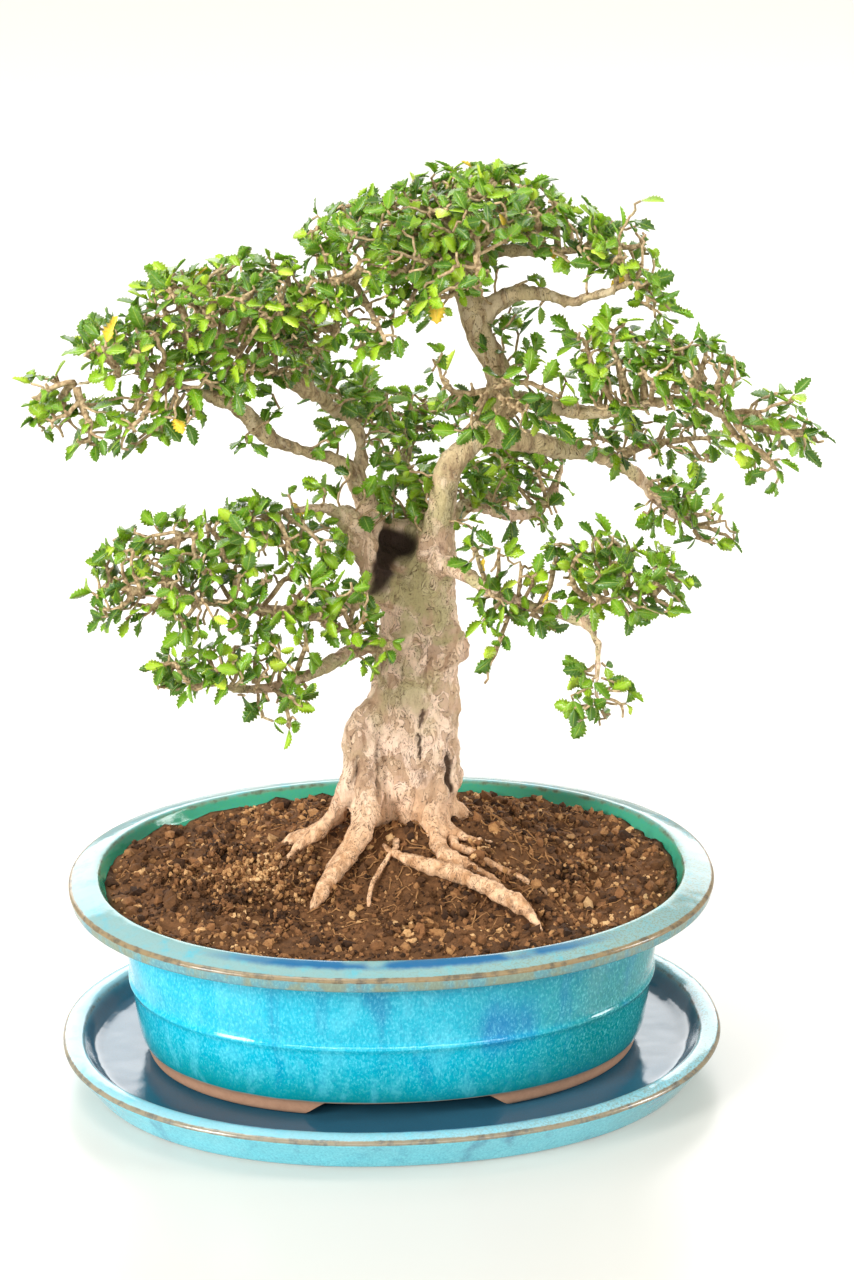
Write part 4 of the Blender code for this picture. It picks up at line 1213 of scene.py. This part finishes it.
def clothe(name, nodes, parents, radii, children, generator, keep, middle):
    """Puts leaves on the thin ends of twigs and makes them one piece. keep gives each node's chance."""
    heap, blades, tones, tops = Heap(), [], [], []
    flip = 1
    for index in range(len(nodes)):
        if parents[index] < 0 or radii[index] > LEAFY_RADIUS or generator.uniform() > keep[index]:
            continue
        tip = children[index] == 0
        along = unit(nodes[index] - nodes[parents[index]])
        outward = unit((nodes[index] - middle) * (1, 1, 0.5) + (nodes[index] - tree_middle) * 0.25)
        for _ in range(2 if tip else 1):
            flip = -flip
            facing = unit(np.array([0, 0, 0.62]) + outward * 0.75 + generator.normal(0, 0.42, 3))
            side = unit(np.cross(along, facing)) * flip
            spread = generator.uniform(0.5, 1.25)
            direction = unit(along * cos(spread) + side * sin(spread) + outward * 0.25 + (0, 0, -0.12))
            length = generator.uniform(*LEAF_LENGTHS) * MM * (0.85 if tip else 1.0)
            shape, faces, blade, top_count = leaf_shapes[generator.integers(len(leaf_shapes))]
            size = np.array([length * generator.uniform(0.92, 1.12), length, length])
            heap.add((shape * size) @ leaf_frame(direction, facing).T + nodes[index], faces)
            blades.append(blade)
            tone = generator.beta(1.9, 2.4) * 0.9 + keep[index] * 0.12 + (0.08 if tip else 0)
            yellow = generator.uniform() < YELLOW_SHARE
            tones.append(np.full(len(shape), 1.0 if yellow else np.clip(tone, 0, 0.97)))
            tops.append((top_count, len(faces)))
    leaves = new_mesh(name, np.vstack(heap.points), heap.faces)
    blade = np.vstack(blades)
    set_attribute(leaves, "blade", np.column_stack([blade, np.zeros(len(blade))]))
    set_attribute(leaves, "tone", np.concatenate(tones))

    # Each leaf has its own cell of a bake map: its upper side on the left and its underside on the right.
    columns = ceil(sqrt(len(tops)))
    layer = leaves.data.uv_layers.new(name="OFBake")
    corner_vertices = np.empty(len(leaves.data.loops), np.int32)
    leaves.data.loops.foreach_get("vertex_index", corner_vertices)
    face_leaf = np.concatenate([np.full(count, n) for n, (_, count) in enumerate(tops)])
    face_under = np.concatenate([np.arange(count) >= top for top, count in tops])
    corner_leaf, corner_under = np.repeat(face_leaf, 4), np.repeat(face_under, 4)
    across = (blade[corner_vertices, 0] + 1) / 2
    u = 0.03 + across * 0.42 + corner_under * 0.52
    v = 0.03 + blade[corner_vertices, 1] * 0.94
    cell = np.column_stack([corner_leaf % columns + u, corner_leaf // columns + v]) / columns
    layer.data.foreach_set("uv", cell.astype(np.float32).ravel())
    shade_smooth(leaves)
    print(name, "twig nodes", len(nodes), "leaves", len(tops))
    return leaves, len(tops)


# %% [markdown]
# Every pad is grown in turn from the wood that runs through it. Its twigs start where the wood enters it,
# or at the nearest wood if none does. Its lower side is barer, because leaves in the shade drop.

# %% Grow the pads
PAD_SPACING = 3.8 * MM
THICKEST_TWIG = 1.5 * MM
twig_heap = Heap()
pads = [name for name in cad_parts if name.startswith("foliage_")]
leaf_pieces = {}
leaf_total = 0

for pad_number, pad in enumerate(sorted(pads)):
    generator = np.random.default_rng(100 + pad_number)
    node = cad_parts[pad]
    targets, tree = fill_pad(node, PAD_SPACING, generator)
    low, high = [np.array(corner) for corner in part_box(pad)]
    middle = (low + high) / 2
    near = ((wood_points > low - 2 * MM) & (wood_points < high + 2 * MM)).all(1)
    starts = []
    for point in wood_points[near]:
        if tree.find_nearest(Vector(point))[3] < 2.2 * MM or inside_of(tree, Vector(point)):
            starts.append(point)
    if not starts:
        gaps = np.linalg.norm(wood_points - middle, axis=1)
        starts = [wood_points[gaps.argmin()]]
    starts = [starts[i] for i in generator.permutation(len(starts))[:60]]
    nodes, parents = grow_twigs(targets, starts, generator=generator)
    radii, children = twig_sizes(parents)
    radii = np.minimum(radii, THICKEST_TWIG)
    for run in chains(parents, children):
        tube(twig_heap, nodes[run], radii[run])
    lift = np.clip((nodes[:, 2] - low[2]) / (high[2] - low[2]), 0, 1)
    depth = np.array([tree.find_nearest(Vector(spot))[3] for spot in nodes])
    keep = np.where(children == 0, 0.9, 0.15 + 0.6 * np.exp(-depth / (4 * MM))) * (0.5 + 0.45 * lift)
    name = "leaves_" + pad.replace("foliage_", "")
    leaf_pieces[pad], count = clothe(name, nodes, parents, radii, children, generator, keep, middle)
    leaf_total += count

# %% [markdown]
# Young shoots also break straight from the limbs between the pads, more often at the back. Each is a
# short run of steps, up and out from the limb. They are grown apart from the pads, since they fill none.

# %% Shoots
generator = np.random.default_rng(300)
limb_points = points_of(wood)
limb_normals = np.empty(len(limb_points) * 3, np.float32)
wood.data.vertices.foreach_get("normal", limb_normals)
limb_normals = limb_normals.reshape(-1, 3).astype(float)
likely = (limb_points[:, 2] > 0.172) & (limb_normals[:, 2] > -0.3) & (np.abs(limb_points[:, 0]) < 0.075)
chance = likely * (1.0 + 3.0 * (limb_points[:, 1] > 0.022))
shoot_nodes, shoot_parents = [], []
for index in generator.choice(len(limb_points), 130, replace=False, p=chance / chance.sum()):
    spot = limb_points[index]
    heading = unit(limb_normals[index] + (0, 0, 0.6) + generator.normal(0, 0.3, 3))
    shoot_nodes.append(spot - heading * 0.5 * MM)
    shoot_parents.append(-1)
    for _ in range(int(generator.integers(3, 8))):
        spot = spot + heading * 1.9 * MM
        shoot_nodes.append(spot)
        shoot_parents.append(len(shoot_nodes) - 2)
        heading = unit(heading + generator.normal(0, 0.35, 3))
shoot_nodes, shoot_parents = np.array(shoot_nodes), np.array(shoot_parents)
radii, children = twig_sizes(shoot_parents)
for run in chains(shoot_parents, children):
    tube(twig_heap, shoot_nodes[run], radii[run])
keep = np.where(children == 0, 0.95, 0.5)
middle = np.array([9, 10, 190]) * MM
shoots, count = clothe("leaves_shoots", shoot_nodes, shoot_parents, radii, children, generator, keep, middle)
leaf_total += count
print("leaves in all:", leaf_total)

twigs = new_mesh("twigs", np.vstack(twig_heap.points), twig_heap.faces)
shade_smooth(twigs)
print("twigs:", len(twigs.data.polygons), "faces")

# %% [markdown]
# Between the thick roots run thin ones, and the soil is full of root hairs and straw-like fibres. Each
# is a tube: the thin roots follow a given route, and the hairs lie on the bed by chance.

# %% Fine roots
# Each point is x, y, z and radius, in millimetres.
ROOT_ROUTES = [
    [(16.1, 8, 77.6, 3.0), (19.6, -7.8, 75.9, 1.5), (27.8, -10.8, 72.7, 1.2), (36.6, -14.5, 69.4, 1.0),
     (43.7, -20, 66.6, 0.8), (48.6, -23.8, 62.5, 0.6)],
    [(1.2, -4, 78, 1.2), (0.2, -9, 76.5, 0.8), (-4.1, -14.2, 73.6, 0.8), (-7.5, -19.5, 70.7, 0.8),
     (-9.1, -25.5, 67.7, 0.7), (-9.8, -29, 63.5, 0.5)],
]
root_heap = Heap()
for route in ROOT_ROUTES:
    course = []
    for here, after in zip(route, route[1:]):
        course += [np.array(here) + (np.array(after) - here) * share for share in (0, 0.25, 0.5, 0.75)]
    course = np.array(course + [np.array(route[-1])])
    course[:, :3] += np.array([[lump(i, k, 2.3, 7.7) for k in range(3)] for i in range(len(course))]) * 0.9
    tube(root_heap, course[:, :3] * MM, course[:, 3] * MM)



def how_far_out(x, y):
    """0 in the middle of the bed and 1 at its edge."""
    return (abs(x) / bed_half[0]) ** OVAL_POWER + (abs(y) / bed_half[1]) ** OVAL_POWER


hair_heap = Heap()
hairs = np.random.default_rng(41)
for _ in range(330):
    spot = np.array(MOUND) + hairs.normal(0, 1, 2) * (0.034, 0.026)
    spot = np.array([spot[0], min(spot[1], 0.05)])
    heading, bend = hairs.uniform(0, 2 * pi), hairs.normal(0, 0.35)
    course = []
    for _ in range(int(hairs.integers(4, 11))):
        course.append((*spot, soil_height(*spot) + hairs.uniform(0.0, 1.1) * MM))
        spot = spot + np.array([cos(heading), sin(heading)]) * 1.5 * MM
        heading += bend + hairs.normal(0, 0.3)
    if all(how_far_out(x, y) < 0.93 for x, y, z in course):
        tube(hair_heap, course, np.linspace(hairs.uniform(0.12, 0.34), 0.1, len(course)) * MM)
fine_roots = new_mesh("fine_roots", np.vstack(root_heap.points), root_heap.faces)
root_hairs = new_mesh("root_hairs", np.vstack(hair_heap.points), hair_heap.faces)
set_attribute(root_hairs, "tone", np.full(len(root_hairs.data.vertices), 0.72))
for piece in (fine_roots, root_hairs):
    shade_smooth(piece)
    print(piece.name, len(piece.data.polygons), "faces")

# %% [markdown]
# A leaf is glossy above, paler along its veins, and lets a little light through. Its edge is paler too,
# partly its own pale margin and partly a painted rim light. Its tone runs from the old dark green to the
# young yellow-green, and one leaf in some hundreds has turned. The veins follow the across and along that
# each leaf carries, so they turn with it. Twigs are tan with greener patches.

# %% Leaf and twig finishes
def leaf_finish():
    finish = Finish("elm_leaf")
    blade = finish.attribute("blade", "Vector")
    across = finish.node("Math", {"operation": "ABSOLUTE"}, {0: finish.axis(blade, "X")})
    share = finish.axis(blade, "Y")
    tone = finish.attribute("tone")
    cloud = finish.noise(finish.place(), 700.0, 3.0)
    stops = [
        (0.0, (0.016, 0.060, 0.008)),
        (0.30, (0.055, 0.165, 0.006)),
        (0.58, (0.145, 0.320, 0.007)),
        (0.82, (0.32, 0.52, 0.012)),
        (0.975, (0.52, 0.70, 0.05)),
        (1.0, (0.80, 0.52, 0.03)),
    ]
    colour = finish.palette(tone + (cloud - 0.5) * 0.10 * (1 - tone.ramp(0.9, 0.96)), stops)
    rib = 1 - across.ramp(0.02, 0.10)
    ripple = finish.node("Math", {"operation": "SINE"}, {0: (share - across * 0.22) * 52.0})
    vein = ripple.ramp(0.80, 1.0) * (1 - across.ramp(0.75, 0.95))
    lighter = finish.blend(colour, (0.60, 0.70, 0.10), 0.45)
    colour = finish.blend(colour, lighter, rib * 0.8)
    colour = finish.blend(colour, lighter, vein * 0.35)
    # A paler edge: partly the leaf's own pale margin and partly painted rim light.
    colour = finish.blend(colour, lighter, across.ramp(0.74, 1.0) * 0.7)
    stalk = 1 - share.ramp(0.06, 0.12)
    colour = finish.blend(colour, (0.32, 0.22, 0.08), stalk * 0.7)
    skin = finish.bump(1 - vein * 0.6 - rib, 0.00025, 0.6)
    finish.wear(Subsurface_Weight=0.2, Subsurface_Scale=0.0004)
    finish.shader.inputs["Subsurface Radius"].default_value = (0.6, 1.0, 0.2)
    return finish.wear(Base_Color=colour, Roughness=0.22 + cloud * 0.14, Normal=skin, Specular_IOR_Level=0.6)


def twig_finish():
    finish = Finish("young_bark")
    place = finish.place()
    grain = finish.noise(place, 800.0, 4.0, 0.6)
    patch = finish.noise(place, 90.0)
    colour = finish.blend((0.27, 0.17, 0.08), (0.60, 0.45, 0.25), grain.ramp(0.35, 0.68))
    colour = finish.blend(colour, (0.22, 0.20, 0.10), patch.ramp(0.5, 0.7) * 0.4)
    return finish.wear(Base_Color=colour, Roughness=0.7 + grain * 0.2, Normal=finish.bump(grain, 0.0002, 0.6))


elm_leaf = leaf_finish()
for pad, leaves in leaf_pieces.items():
    dress(leaves, elm_leaf)
    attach(leaves, "root")
    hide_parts(pad)
dress(shoots, elm_leaf)
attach(shoots, "root")
young_bark = twig_finish()
for piece, finish in ((twigs, young_bark), (root_hairs, soil_crumb), (fine_roots, elm_bark)):
    dress(piece, finish)
    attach(piece, "root")
print("leaf finish on", len(leaf_pieces) + 1, "pieces, bark on", twigs.name, root_hairs.name, fine_roots.name)

# %% [markdown]
# Last, nothing is left selected.

# %% Clear the selection
drop_selection()
